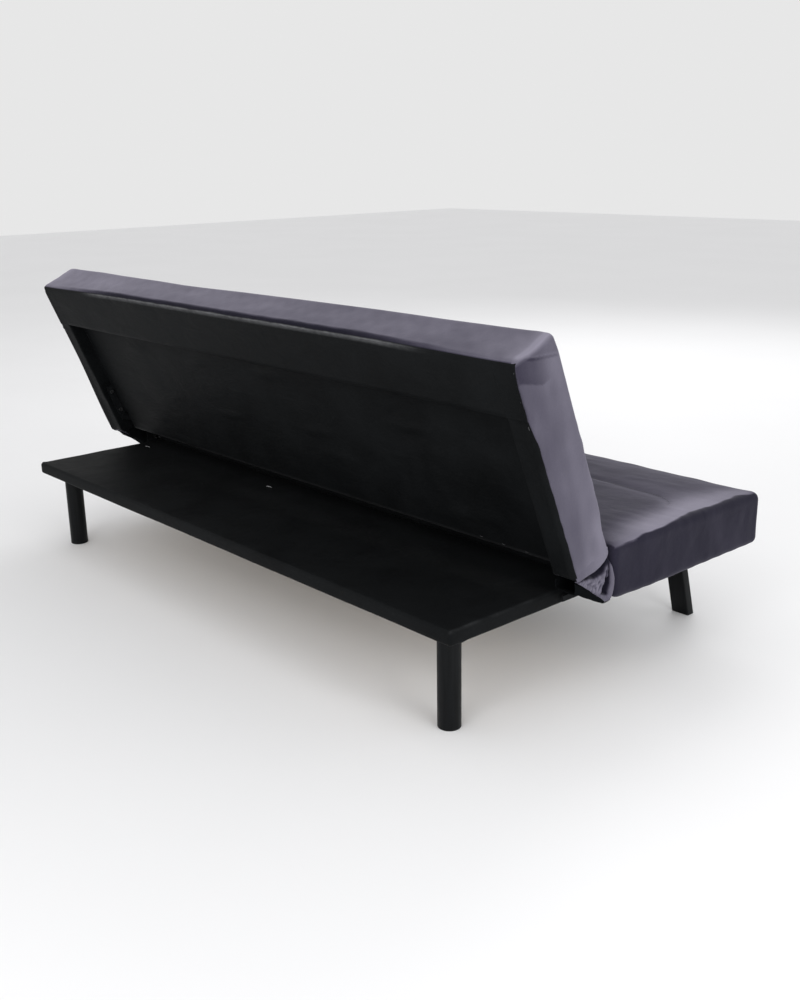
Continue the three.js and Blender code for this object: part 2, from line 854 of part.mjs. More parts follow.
function buildBackPad() {
  const inFront = block(
    [-halfLength, halfLength],
    depthSpan(back.frameDepth + fit.gap, back.thickness + back.crown),
    [0, back.length],
  );
  place(
    backGroup,
    "back_foam",
    cut(backForm(inner).intersect(inFront), ...backPockets()),
    foam(),
  );
  const opening = block(
    [-halfLength + back.turnRound, halfLength - back.turnRound],
    depthSpan(-fit.overrun, fit.skin + fit.overrun),
    [back.turnRound, back.length - back.turnRound],
  );
  const hollowEnd = block(
    [-railInnerX, railInnerX],
    depthSpan(-fit.overrun, back.recess + fit.lining),
    [-fit.overrun, back.edgeRadius],
  );
  const cover = cut(backForm(0), backForm(fit.skin), opening, hollowEnd, ...backPockets());
  place(backGroup, "back_cover", cover, velvet());
  place(backGroup, "back_lining", backLining(), nonWoven());
}

// Hinges

const seatArmLow = seat.underside + hinge.legUp;
const seatArmFrontY = seatRearY - hinge.pocketInto - hinge.legReach;
const seatArmTop = seatArmLow + hinge.legHeight;

function seatArmBolts() {
  const z = (seatArmLow + seatArmTop) / 2;
  const far = seatArmFrontY + hinge.boltFromEnd;
  return [
    new THREE.Vector2(far, z),
    new THREE.Vector2(far + hinge.boltSpacing, z),
  ];
}

// Places of the backrest arm's bolts, in the backrest's own frame.
function backArmBolts() {
  const y = -(hinge.armLow + hinge.armHigh) / 2;
  return [
    new THREE.Vector2(y, hinge.armEnd - hinge.boltFromEnd),
    new THREE.Vector2(y, hinge.armStart + hinge.joggle + hinge.boltFromEnd),
  ];
}

// The fixed arm: bolted inside the seat's side rail, with a toe that the backrest lands on.
function seatArm(side) {
  const toeTop = seat.underside + hinge.armLow - fit.gap;
  const toeUnder = seat.underside + hinge.toeUp;
  const post = [pivot.x - hinge.boss, pivot.x + hinge.boss];
  const rivetEdge = rivet.x - hinge.pawlBoss;
  const outline = [
    [seatArmFrontY, seatArmLow],
    [rivetEdge - hinge.legUp, seatArmLow],
    [rivetEdge, toeUnder],
    [seatRearY + hinge.toe, toeUnder],
    [seatRearY + hinge.toe, toeTop],
    [post[1] + hinge.boss, toeTop],
    [post[1], toeTop + hinge.boss],
    [post[1], pivot.y],
    [post[0], pivot.y],
    [post[0], rivet.y + hinge.pawlBoss],
    [rivetEdge, rivet.y + hinge.pawlBoss],
    [rivetEdge, seatArmTop],
    [seatArmFrontY, seatArmTop],
  ];
  const span = spanX(side, armInnerX, armOuterX);
  const stud = barX(
    hinge.studRadius,
    spanX(side, springX - spring.coil, armInnerX + hinge.plate / 2),
    anchor,
    facets.bolt,
  );
  const plate = join(prism(outline, span), barX(hinge.boss, span, pivot), stud);
  const through = spanX(side, armInnerX - fit.overrun, armOuterX + fit.overrun);
  return cut(
    plate,
    barX(hinge.pinRadius + fit.play, through, pivot),
    barX(hinge.rivetRadius + fit.play, through, rivet, facets.bolt),
    ...seatArmBolts().map((at) => barX(hinge.bolt + fit.play, through, at, facets.bolt)),
  );
}

// A flat sector about the pivot, in a frame where it sits at centre.
function sector(centre, radius, low, high, span) {
  const steps = facets.round / 2;
  const outline = [[centre.x, centre.y]];
  for (let i = 0; i <= steps; i++) {
    const angle = low + ((high - low) * i) / steps;
    outline.push([centre.x + radius * Math.cos(angle), centre.y + radius * Math.sin(angle)]);
  }
  return prism(outline, span);
}

// The moving arm, in the backrest's own frame: a notched hub, a neck and an arm on the side rail.
function backArm(side) {
  const centre = new THREE.Vector2(-hinge.pivotDepth, pivotUp);
  const hubSpan = spanX(side, hubInnerX, hubOuterX);
  const armSpan = spanX(side, armInnerX, armOuterX);
  const bothSpan = spanX(side, hubInnerX, armOuterX);
  const middle = -(hinge.armLow + hinge.armHigh) / 2;
  const foot = new THREE.Vector2(middle, hinge.armStart + hinge.joggle / 2);
  const across = [-hinge.armHigh, -hinge.armLow];
  const [rimLow, rimHigh] = [hinge.ratchetLow, hinge.ratchetHigh].map((a) => rad(a) + lean);
  const notches = [0, 1, 2].map((i) => {
    const angle = rad(hinge.pawlAngle + (fullTurn * i) / 2) + lean;
    const spot = new THREE.Vector2(Math.cos(angle), Math.sin(angle));
    spot.multiplyScalar(hinge.ratchetRadius).add(centre);
    const wide = spanX(side, hubInnerX - fit.overrun, hubOuterX + fit.overrun);
    return barX(hinge.notchRadius, wide, spot, facets.bolt);
  });
  const body = join(
    barX(hinge.boss, hubSpan, centre),
    sector(centre, hinge.ratchetRadius, rimLow, rimHigh, hubSpan),
    link(centre, foot, hinge.neckHalfWidth, hubSpan),
    block(bothSpan, across, [hinge.armStart, hinge.armStart + hinge.joggle]),
    block(armSpan, across, [hinge.armStart, hinge.armEnd]),
  );
  const through = spanX(side, hubInnerX - fit.overrun, armOuterX + fit.overrun);
  return cut(
    body,
    barX(hinge.pinRadius + fit.play, through, centre),
    ...notches,
    ...backArmBolts().map((at) => barX(hinge.bolt + fit.play, through, at, facets.bolt)),
  );
}

// A headed pin along X, its head inboard.
function headedPin(side, at, radius, headRadius, headSpan, tipX, sides) {
  return join(
    barX(headRadius, spanX(side, ...headSpan), at, sides),
    barX(radius, spanX(side, (headSpan[0] + headSpan[1]) / 2, tipX), at, sides),
  );
}

const springX = headOuterX - hinge.pinHeadHeight - spring.coil - spring.wire - fit.gap;

// The pawl rides on the hub's rim, and its tail carries the spring's stud.
function pawlShape(side) {
  const span = spanX(side, hubInnerX, hubOuterX);
  const stem = new THREE.Vector2().lerpVectors(rivet, nose, hinge.pawlStemShare);
  const stud = barX(
    hinge.studRadius,
    spanX(side, springX - spring.coil, hubInnerX + hinge.plate / 2),
    tail,
    facets.bolt,
  );
  const body = join(
    link(rivet, stem, hinge.pawlHalfWidth, span, facets.bolt),
    link(stem, nose, hinge.noseRadius, span, facets.bolt),
    link(rivet, tail, hinge.pawlHalfWidth, span, facets.bolt),
    barX(hinge.pawlBoss, span, rivet, facets.bolt),
    stud,
  );
  const hole = spanX(side, hubInnerX - fit.overrun, hubOuterX + fit.overrun);
  return cut(body, barX(hinge.rivetRadius + fit.play, hole, rivet, facets.bolt));
}

// A tension spring as one unbroken tube: straight leads and even curls, from stud to stud.
function springPath() {
  const start = tail.x - hinge.studRadius - fit.gap;
  const end = anchor.x + hinge.studRadius + fit.gap;
  const steps = spring.curls * facets.curlSteps;
  const run = start - end - 2 * spring.lead;
  const points = [new THREE.Vector3(0, start, 0)];
  points.push(new THREE.Vector3(0, start - spring.stub, 0));
  for (let i = 0; i <= steps; i++) {
    const angle = (2 * Math.PI * i) / facets.curlSteps;
    const y = start - spring.lead - (run * i) / steps;
    points.push(
      new THREE.Vector3(spring.coil * Math.sin(angle), y, spring.coil * Math.cos(angle)),
    );
  }
  points.push(new THREE.Vector3(0, end + spring.stub, 0));
  points.push(new THREE.Vector3(0, end, 0));
  return points;
}

// Least gap between the tube's surface and itself, on points more than half a curl apart.
function leastGap(points) {
  let least = Infinity;
  const apart = facets.curlSteps / 2;
  for (let i = 0; i < points.length; i++) {
    for (let j = i + apart; j < points.length; j++) {
      least = Math.min(least, points[i].distanceTo(points[j]) - 2 * spring.wire);
    }
  }
  return least;
}

// Sweeps a round wire along the points, with its section square to the path.
function wireTube(points, radius, sides) {
  const rings = points.map((point, i) => {
    const before = points[Math.max(0, i - 1)];
    const after = points[Math.min(points.length - 1, i + 1)];
    const ahead = after.clone().sub(before).normalize();
    const outward = new THREE.Vector3(1, 0, 0);
    outward.addScaledVector(ahead, -outward.dot(ahead)).normalize();
    const third = new THREE.Vector3().crossVectors(ahead, outward);
    return Array.from({ length: sides }, (_, k) => {
      const angle = (2 * Math.PI * k) / sides;
      return point
        .clone()
        .addScaledVector(outward, radius * Math.cos(angle))
        .addScaledVector(third, radius * Math.sin(angle));
    });
  });
  const corners = [];
  const face = (...places) => places.forEach((p) => corners.push(p.x, p.y, p.z));
  for (let i = 1; i < rings.length; i++) {
    for (let k = 0; k < sides; k++) {
      const next = (k + 1) % sides;
      face(rings[i - 1][k], rings[i - 1][next], rings[i][next]);
      face(rings[i - 1][k], rings[i][next], rings[i][k]);
    }
  }
  const last = rings.length - 1;
  for (let k = 1; k < sides - 1; k++) {
    face(rings[0][0], rings[0][k + 1], rings[0][k]);
    face(rings[last][0], rings[last][k], rings[last][k + 1]);
  }
  const geometry = new THREE.BufferGeometry();
  geometry.setAttribute("position", new THREE.Float32BufferAttribute(corners, 3));
  return solid(geometry);
}

function buildHinges() {
  const coil = springPath();
  console.log(`spring: least gap to itself ${leastGap(coil).toFixed(2)} mm`);
  const headSpan = [headOuterX - hinge.pinHeadHeight, headOuterX];
  const boltHeadSpan = [armInnerX - fit.gap - hinge.boltHeadHeight, armInnerX - fit.gap];
  const boltTip = railInnerX + hinge.boltGrip - fit.gap;
  for (const { side, end } of ends) {
    const tube = wireTube(coil, spring.wire, facets.wireSides);
    place(root, `hinge_seat_arm_${end}`, seatArm(side), blackSteel());
    place(backGroup, `hinge_back_arm_${end}`, backArm(side), blackSteel());
    const pin = headedPin(side, pivot, hinge.pinRadius, hinge.pinHead, headSpan, armOuterX);
    place(root, `hinge_pin_${end}`, pin, zincSteel());
    const { rivetRadius, rivetHead } = hinge;
    const stud = headedPin(side, rivet, rivetRadius, rivetHead, headSpan, armOuterX, facets.bolt);
    place(root, `pawl_rivet_${end}`, stud, zincSteel());
    place(root, `pawl_${end}`, pawlShape(side), zincSteel());
    place(root, `pawl_spring_${end}`, tube.translate([side * springX, 0, tail.y]), zincSteel());
    const bolt = (at) =>
      headedPin(side, at, hinge.bolt, hinge.boltHead, boltHeadSpan, boltTip, facets.bolt);
    seatArmBolts().forEach((at, i) => {
      place(root, `seat_arm_bolt_${end}_${i + 1}`, bolt(at), zincSteel());
    });
    backArmBolts().forEach((at, i) => {
      place(backGroup, `back_arm_bolt_${end}_${i + 1}`, bolt(at), zincSteel());
    });
  }
}

// Velvet that crosses the hinge line: a pleat at each end and a strip along the crease

function buildFolds() {
  const seatEdge = seatRearY + fit.gap;
  const below = (depth) => onBack(-2 * fit.gap, depth);
  const rearShare = pleat.lowShare * back.thickness;
  const high = below(back.thickness - back.edgeRadius);
  const low = below(rearShare);
  const drop = pleat.dropShare * seat.thickness;
  const tuck = pleat.tuckShare * (low.x - seatEdge);
  const outline = [
    [seatEdge, high.y - fit.overrun],
    [high.x, high.y],
    [low.x, low.y],
    [low.x, low.y - drop],
    [seatEdge + tuck, seat.underside + fit.overrun],
    [seatEdge, seat.underside + fit.overrun],
  ];
  const outerX = halfLength - pleat.endInset;
  for (const { side, end } of ends) {
    const span = spanX(side, outerX - pleat.wall, outerX);
    place(root, `end_pleat_${end}`, prism(outline, span), velvet());
  }
  const far = below(back.thickness - 2 * back.edgeRadius);
  const strip = [
    [seatEdge, high.y - back.edgeRadius],
    [high.x, high.y - back.edgeRadius],
    [far.x, far.y - fit.overrun],
    [far.x, far.y],
    [high.x, high.y],
    [seatEdge, high.y - fit.overrun],
  ];
  const reach = pocketX - fit.gap;
  place(root, "crease_strip", prism(strip, [-reach, reach]), velvet());
}

buildBase();
buildRearLegs();
buildFrontLegs();
buildSeatFrame();
buildSeatPad();
buildBackFrame();
buildBackPad();
buildHinges();
buildFolds();

export default root;
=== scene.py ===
import json
import math

import bpy
import numpy as np
from mathutils import Matrix, Vector


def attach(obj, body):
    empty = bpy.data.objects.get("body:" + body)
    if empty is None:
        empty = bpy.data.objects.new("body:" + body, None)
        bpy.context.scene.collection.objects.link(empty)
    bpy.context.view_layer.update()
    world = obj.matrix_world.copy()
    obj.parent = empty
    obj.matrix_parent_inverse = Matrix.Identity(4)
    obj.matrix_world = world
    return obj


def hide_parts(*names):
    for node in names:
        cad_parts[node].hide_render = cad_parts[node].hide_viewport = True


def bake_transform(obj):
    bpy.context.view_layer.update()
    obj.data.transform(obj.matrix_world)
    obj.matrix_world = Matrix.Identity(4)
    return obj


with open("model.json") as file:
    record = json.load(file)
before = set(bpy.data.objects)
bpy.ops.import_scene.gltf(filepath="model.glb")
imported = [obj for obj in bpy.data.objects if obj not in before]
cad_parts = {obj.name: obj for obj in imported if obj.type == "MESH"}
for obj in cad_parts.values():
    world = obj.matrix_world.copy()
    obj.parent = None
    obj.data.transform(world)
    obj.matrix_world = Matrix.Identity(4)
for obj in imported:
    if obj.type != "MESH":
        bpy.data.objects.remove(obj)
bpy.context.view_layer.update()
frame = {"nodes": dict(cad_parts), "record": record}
cadNodes = frame["nodes"]
scene = bpy.context.scene
mm = 0.001
print("frame loaded")

# ---- camera, light and floor

view = {"place": (-2.20222, 1.78470, 1.06959), "yaw": 41.62, "pitch": 16.96, "roll": -0.95, "lens": 41.226}


def addCamera():
    yaw, pitch, roll = (math.radians(view[name]) for name in ("yaw", "pitch", "roll"))
    ahead = Vector((math.cos(yaw) * math.cos(pitch), -math.sin(yaw) * math.cos(pitch), -math.sin(pitch)))
    level = ahead.cross(Vector((0, 0, 1))).normalized()
    rise = level.cross(ahead)
    right = level * math.cos(roll) + rise * math.sin(roll)
    up = rise * math.cos(roll) - level * math.sin(roll)
    camera = bpy.data.objects.new("camera", bpy.data.cameras.new("camera"))
    turn = Matrix((right, up, -ahead)).transposed().to_4x4()
    camera.matrix_world = Matrix.Translation(view["place"]) @ turn
    camera.data.lens = view["lens"]
    scene.collection.objects.link(camera)
    scene.camera = camera


studio = {
    "air": (1.0, 1.0, 1.0), "airStrength": 0.80,
    "softboxes": {"rear": ((-1.8, 3.4, 2.2), 2.6, 46), "end": ((-4.0, 0.6, 1.6), 2.2, 46),
                  "front": ((1.6, -3.6, 3.0), 2.5, 50)},  # place, size and power
    "floorReach": 14, "floorTone": (0.86, 0.86, 0.87),
}


def addLight(name, place, size, power):
    lamp = bpy.data.lights.new(name, "AREA")
    lamp.shape = "DISK"
    lamp.size = size
    lamp.energy = power
    holder = bpy.data.objects.new(name, lamp)
    holder.location = place
    holder.rotation_euler = (Vector((0, 0, 0.35)) - Vector(place)).to_track_quat("-Z", "Y").to_euler()
    scene.collection.objects.link(holder)


def addStudio():
    world = bpy.data.worlds.new("studioAir")
    world.use_nodes = True
    air = world.node_tree.nodes["Background"]
    air.inputs["Color"].default_value = (*studio["air"], 1)
    air.inputs["Strength"].default_value = studio["airStrength"]
    scene.world = world
    scene.view_settings.view_transform = "Standard"
    for name, light in studio["softboxes"].items():
        addLight(name + "Softbox", *light)


addCamera()
addStudio()

# ---- finishes


def newFinish(name, constants):  # a material, its shader and the place that its patterns are laid by
    finish = bpy.data.materials.new(name)
    finish.use_nodes = True
    tree = finish.node_tree
    shader = tree.nodes["Principled BSDF"]
    for socket, value in constants.items():
        shader.inputs[socket].default_value = value
    return finish, tree, shader.inputs, addNode(tree, "ShaderNodeTexCoord").outputs["Object"]


def addNode(tree, kind, inputs=None, **settings):
    made = tree.nodes.new(kind)
    for name, value in settings.items():
        setattr(made, name, value)
    for name, value in (inputs or {}).items():
        if isinstance(value, bpy.types.NodeSocket):
            tree.links.new(value, made.inputs[name])
        else:
            made.inputs[name].default_value = value
    return made


def addRamp(tree, source, stops):
    made = addNode(tree, "ShaderNodeValToRGB", {"Fac": source})
    ramp = made.color_ramp
    while len(ramp.elements) < len(stops):
        ramp.elements.new(0.5)
    for element, (spot, tone) in zip(ramp.elements, stops):
        element.position = spot
        element.color = (*tone, 1) if len(tone) == 3 else tone
    return made.outputs["Color"]


def addNoise(tree, place, scale, detail=3, rough=0.5, warp=0.0):
    inputs = {"Vector": place, "Scale": scale, "Detail": detail, "Roughness": rough, "Distortion": warp}
    return addNode(tree, "ShaderNodeTexNoise", inputs).outputs["Fac"]


def addMaths(tree, operation, *values, clamp=False):
    made = addNode(tree, "ShaderNodeMath", dict(enumerate(values)), operation=operation)
    made.use_clamp = clamp
    return made.outputs[0]


def stretched(tree, place, scale, turn=(0, 0, 0)):
    return addNode(tree, "ShaderNodeMapping", {"Vector": place, "Scale": scale, "Rotation": turn}).outputs[0]


def addBump(tree, height, strength, distance, under=None):
    inputs = {"Height": height, "Strength": strength, "Distance": distance}
    if under is not None:
        inputs["Normal"] = under
    return addNode(tree, "ShaderNodeBump", inputs).outputs["Normal"]


velvetLook = {
    "tones": [(0.0, (0.0100, 0.0092, 0.0185)), (0.25, (0.037, 0.0335, 0.052)), (0.55, (0.092, 0.086, 0.115)),
              (1.0, (0.215, 0.203, 0.255))],
    "shader": {"Roughness": 0.85, "Specular IOR Level": 0.12, "Sheen Weight": 0.22, "Sheen Roughness": 0.4,
               "Sheen Tint": (0.80, 0.77, 0.90, 1)},
}


def makeVelvet():
    finish, tree, sockets, place = newFinish("velvet", velvetLook["shader"])
    # nap is painted light and shade: sheen bands, highlights and shaded creases laid into the velvet's
    # colour
    total = addNode(tree, "ShaderNodeAttribute", attribute_name="nap").outputs["Fac"]
    broad = addNoise(tree, place, 3.6, 3, 0.55, 0.8)  # where hands have brushed the pile
    brushed = addNoise(tree, stretched(tree, place, (14, 14, 4.2), (0.36, 0.08, 0)), 1.5, 5, 0.62, 0.6)
    pile = addNoise(tree, place, 420, 2, 0.7)
    for source, share in ((broad, 0.32), (brushed, 0.15), (pile, 0.10)):
        total = addMaths(tree, "ADD", total, addMaths(tree, "MULTIPLY_ADD", source, share, -share / 2))
    tree.links.new(addRamp(tree, total, velvetLook["tones"]), sockets["Base Color"])
    soft = addBump(tree, addNoise(tree, place, 24, 3, 0.5, 0.3), 0.35, 0.004)
    tree.links.new(addBump(tree, pile, 0.35, 0.0006, soft), sockets["Normal"])
    return finish


clothLook = {
    "tones": [(0.3, (0.0018, 0.0021, 0.0024)), (0.75, (0.0084, 0.0094, 0.0103))],
    # the fray colour is a painted highlight on the black cloth
    "fray": (0.165, 0.167, 0.175, 1), "roughness": 0.48, "dots": 620, "shine": 0.055,
}


def makeNonWoven(name, shine):
    finish, tree, sockets, place = newFinish(name, {"Specular IOR Level": shine, "Sheen Weight": 0.006})
    fibres = addNoise(tree, place, 260, 4, 0.7, 0.8)
    dotted = {"Vector": place, "Scale": clothLook["dots"], "Randomness": 0.25}
    dots = addNode(tree, "ShaderNodeTexVoronoi", dotted).outputs["Distance"]
    patches = addNoise(tree, place, 7, 4, 0.6, 0.5)
    parts = addMaths(tree, "MULTIPLY", fibres, 0.45), addMaths(tree, "MULTIPLY", patches, 0.55)
    # fray mixes in a light grey: a painted highlight, broken into streaks
    highlightShare = addNode(tree, "ShaderNodeAttribute", attribute_name="fray").outputs["Fac"]
    highlightStreaks = addNoise(tree, stretched(tree, place, (1, 4, 4)), 60, 4, 0.7)
    ragged = addMaths(tree, "MULTIPLY", highlightShare, highlightStreaks, clamp=True)
    mixed = addNode(tree, "ShaderNodeMix", {"Factor": ragged}, data_type="RGBA")
    tree.links.new(addRamp(tree, addMaths(tree, "ADD", *parts), clothLook["tones"]), mixed.inputs[6])
    mixed.inputs[7].default_value = clothLook["fray"]
    tree.links.new(mixed.outputs[2], sockets["Base Color"])
    rough = addMaths(tree, "MULTIPLY_ADD", patches, 0.25, clothLook["roughness"])
    tree.links.new(rough, sockets["Roughness"])
    slack = addBump(tree, addNoise(tree, stretched(tree, place, (1, 1, 2.4)), 9, 3, 0.5, 1.2), 0.35, 0.006)
    weave = addBump(tree, dots, 0.25, 0.0006, slack)
    tree.links.new(addBump(tree, fibres, 0.25, 0.0005, weave), sockets["Normal"])
    return finish


def makeBlackPaint():
    finish, tree, sockets, place = newFinish("black_paint", {"Specular IOR Level": 0.12})
    grain = addNoise(tree, stretched(tree, place, (60, 60, 3)), 3.0, 4, 0.6, 0.3)
    tones = [(0.3, (0.0022, 0.0026, 0.0030)), (0.8, (0.0062, 0.0070, 0.0080))]
    tree.links.new(addRamp(tree, grain, tones), sockets["Base Color"])
    uneven = addNoise(tree, place, 30, 3, 0.6)
    tree.links.new(addMaths(tree, "MULTIPLY_ADD", uneven, 0.25, 0.30), sockets["Roughness"])
    peel = addBump(tree, addNoise(tree, place, 320, 2, 0.5), 0.08, 0.0004)
    tree.links.new(addBump(tree, grain, 0.12, 0.0005, peel), sockets["Normal"])
    return finish


def makeWood(name, tones, bands, roughness):
    finish, tree, sockets, place = newFinish(name, {"Roughness": roughness})
    rings = addNode(tree, "ShaderNodeTexWave", {"Vector": stretched(tree, place, bands), "Scale": 1.0,
                                                "Distortion": 1.8, "Detail": 3.0})
    fibre = addNoise(tree, stretched(tree, place, (2, 60, 60)), 4.0, 5, 0.65)
    parts = addMaths(tree, "MULTIPLY", rings.outputs["Fac"], 0.6), addMaths(tree, "MULTIPLY", fibre, 0.4)
    tree.links.new(addRamp(tree, addMaths(tree, "ADD", *parts), tones), sockets["Base Color"])
    tree.links.new(addBump(tree, fibre, 0.3, 0.0005), sockets["Normal"])
    return finish


def makeFoam():
    finish, tree, sockets, place = newFinish("foam", {"Roughness": 0.95})
    pores = addNode(tree, "ShaderNodeTexVoronoi", {"Vector": place, "Scale": 380.0}).outputs["Distance"]
    tones = [(0.1, (0.62, 0.55, 0.33)), (0.6, (0.80, 0.74, 0.50))]
    tree.links.new(addRamp(tree, pores, tones), sockets["Base Color"])
    tree.links.new(addBump(tree, pores, 0.5, 0.001), sockets["Normal"])
    return finish


steelLook = {  # dark and light tone, metallic, roughness and grain
    "zinc_steel": ((0.085, 0.087, 0.09), (0.15, 0.152, 0.155), 1.0, 0.42, 90),
    "stapleWire": ((0.05, 0.05, 0.052), (0.11, 0.11, 0.115), 0.6, 0.5, 90),
    # a much lighter copy of the staple wire: painted glint
    "paintedGlintWire": ((0.40, 0.40, 0.41), (0.55, 0.55, 0.56), 0.1, 0.5, 90),
    "black_steel": ((0.003, 0.0034, 0.004), (0.008, 0.009, 0.010), 0.0, 0.62, 60),
}


def makeSteel(name):
    dark, light, metallic, rough, grain = steelLook[name]
    constants = {"Metallic": metallic, "Specular IOR Level": 0.5 if metallic else 0.12}
    finish, tree, sockets, place = newFinish(name, constants)
    spangle = addNoise(tree, place, grain, 4, 0.6, 0.5)
    tree.links.new(addRamp(tree, spangle, [(0.3, dark), (0.7, light)]), sockets["Base Color"])
    tree.links.new(addMaths(tree, "MULTIPLY_ADD", spangle, 0.3, rough - 0.15), sockets["Roughness"])
    tree.links.new(addBump(tree, addNoise(tree, place, 900, 2, 0.5), 0.1, 0.0003), sockets["Normal"])
    return finish


def makeThread():
    finish, tree, sockets, place = newFinish("thread", {"Roughness": 0.6})
    twisted = {"Vector": place, "Scale": 420.0, "Distortion": 1.5}
    twist = addNode(tree, "ShaderNodeTexWave", twisted).outputs["Fac"]
    tones = [(0.2, (0.014, 0.013, 0.020)), (0.8, (0.050, 0.047, 0.062))]
    tree.links.new(addRamp(tree, twist, tones), sockets["Base Color"])
    tree.links.new(addBump(tree, twist, 0.4, 0.0003), sockets["Normal"])
    return finish


finishes = {
    "velvet": makeVelvet(), "thread": makeThread(),
    "non_woven": makeNonWoven("non_woven", clothLook["shine"]), "dullCloth": makeNonWoven("dullCloth", 0.0),
    "black_paint": makeBlackPaint(),
    "timber": makeWood("timber", [(0.2, (0.46, 0.38, 0.28)), (0.8, (0.62, 0.54, 0.43))], (2, 26, 26), 0.75),
    "plywood": makeWood("plywood", [(0.2, (0.34, 0.29, 0.23)), (0.8, (0.46, 0.41, 0.34))], (3, 14, 90), 0.8),
    "foam": makeFoam(),
}
finishes.update((name, makeSteel(name)) for name in steelLook)
print("finishes made")


def addFloor():
    finish, tree, sockets, place = newFinish("floorPaint", {"Roughness": 0.7})
    tone, reach = studio["floorTone"], studio["floorReach"]
    tones = [(0.35, tuple(t * 0.985 for t in tone)), (0.65, tone)]
    tree.links.new(addRamp(tree, addNoise(tree, place, 1.2, 3), tones), sockets["Base Color"])
    corners = [(-reach, -reach, 0), (reach, -reach, 0), (reach, reach, 0), (-reach, reach, 0)]
    mesh = bpy.data.meshes.new("floor")
    mesh.from_pydata(corners, [], [(0, 1, 2, 3)])
    mesh.materials.append(finish)
    floor = bpy.data.objects.new("floor", mesh)
    scene.collection.objects.link(floor)


addFloor()

# ---- making shapes, in millimetres


def makePiece(name, points, faces, slot, **shades):
    mesh = bpy.data.meshes.new(name)
    mesh.from_pydata((np.asarray(points) * mm).tolist(), [], [list(map(int, face)) for face in faces])
    mesh.materials.append(finishes[slot])
    mesh.shade_smooth()
    for shade, values in shades.items():
        made = mesh.attributes.new(shade, "FLOAT", "POINT")
        made.data.foreach_set("value", np.asarray(values, np.float32))
    piece = bpy.data.objects.new(name, mesh)
    scene.collection.objects.link(piece)
    return piece


def settle(piece):  # a copy of the mesh with its modifiers worked in
    shaped = bpy.data.meshes.new_from_object(piece.evaluated_get(bpy.context.evaluated_depsgraph_get()))
    piece.modifiers.clear()
    piece.data = shaped
    return piece


def thicken(piece, thickness):
    wall = piece.modifiers.new("wall", "SOLIDIFY")
    wall.thickness = thickness * mm
    wall.offset = -1
    return settle(piece)


def gridSpots(*lines):  # every crossing of two sets of lines
    return (a.ravel() for a in np.meshgrid(*lines, indexing="ij"))


def gridSheet(rows, columns):
    number = np.arange(rows * columns).reshape(rows, columns)
    corners = [number[:-1, :-1], number[1:, :-1], number[1:, 1:], number[:-1, 1:]]
    return np.stack([c.ravel() for c in corners], 1)


def laySheet(name, place, counts, slot, thickness, turned=False, **shades):  # cloth on a grid of points
    faces = gridSheet(*counts)
    return thicken(makePiece(name, place, faces[:, ::-1] if turned else faces, slot, **shades), thickness)


def asPlaces(x, y, z):  # a row of three for each point
    return np.stack(np.broadcast_arrays(x, y, z), -1).astype(float)


def fall(place, half, power):
    return np.maximum(0, 1 - np.abs(place / half) ** power)


def steepen(share, power):
    return np.sign(share) * np.minimum(1, np.abs(share)) ** power


def ease(low, high, value):
    share = np.clip((value - low) / (high - low), 0, 1)
    return share * share * (3 - 2 * share)


def hill(value, middle, width):
    return np.exp(-(((value - middle) / width) ** 2))


def waves(points, length, seed, count=9):  # smooth uneven waves about 0, near -1 to 1
    chance = np.random.default_rng(seed)
    total = np.zeros(len(points))
    for _ in range(count):
        way = chance.normal(size=3)
        way *= 2 * math.pi / length * chance.uniform(0.6, 1.5) / np.linalg.norm(way)
        total += np.sin(points @ way + chance.uniform(0, 6.3))
    return total / math.sqrt(count)


def spaced(stops, cell):
    lines = [stops[0]]
    for low, high in zip(stops, stops[1:]):
        parts = max(1, round(abs(high - low) / cell))
        lines += [low + (high - low) * i / parts for i in range(1, parts + 1)]
    return lines


def boxLines(half, radius, cell, marks=(), steps=3):
    turned = [-half + radius * (1 - math.tan(math.pi / 4 * (1 - i / steps))) for i in range(steps)]
    flat = half - radius
    lines = turned + spaced([-flat, *sorted(m for m in marks if abs(m) < flat), flat], cell)
    lines += [-line for line in reversed(turned)]
    edge = [m for m in marks if abs(m) >= flat]
    lines = [line for line in lines if all(abs(line - m) > 1.2 for m in edge)] + edge
    return np.array(sorted(lines))


def latticeShell(lines, cells=None):  # the outer faces of a block of cells
    counts = [len(line) for line in lines]
    if cells is None:
        cells = np.ones([n - 1 for n in counts], bool)
    around = np.pad(cells, 1)
    number = np.arange(np.prod(counts)).reshape(counts)
    quads = []
    for axis in range(3):
        u, v = (axis + 1) % 3, (axis + 2) % 3
        trimmed = np.moveaxis(around, (axis, u, v), (0, 1, 2))[:, 1:-1, 1:-1]
        grid = np.moveaxis(number, (axis, u, v), (0, 1, 2))
        corners = np.stack([grid[:, :-1, :-1], grid[:, 1:, :-1], grid[:, 1:, 1:], grid[:, :-1, 1:]], -1)
        quads.append(corners[trimmed[:-1] & ~trimmed[1:]])
        quads.append(corners[~trimmed[:-1] & trimmed[1:]][:, ::-1])
    quads = np.concatenate(quads)
    used, quads = np.unique(quads, return_inverse=True)
    quads = quads.reshape(-1, 4)
    params = np.stack(np.meshgrid(*lines, indexing="ij"), -1).reshape(-1, 3)[used]
    return params, quads, used


def betweenLines(coarse, fine):  # weights that carry values at coarse lines smoothly to fine ones
    values = np.eye(len(coarse))
    slopes = np.gradient(values, coarse, axis=0)
    spot = np.clip(np.searchsorted(coarse, fine, side="right") - 1, 0, len(coarse) - 2)
    gap = (coarse[spot + 1] - coarse[spot])[:, None]
    t = (fine - coarse[spot])[:, None] / gap
    rise = t * t * (3 - 2 * t)
    ahead, behind = t * (t - 1) ** 2 * gap, t * t * (t - 1) * gap
    flat = (1 - rise) * values[spot] + rise * values[spot + 1]
    return flat + ahead * slopes[spot] + behind * slopes[spot + 1]


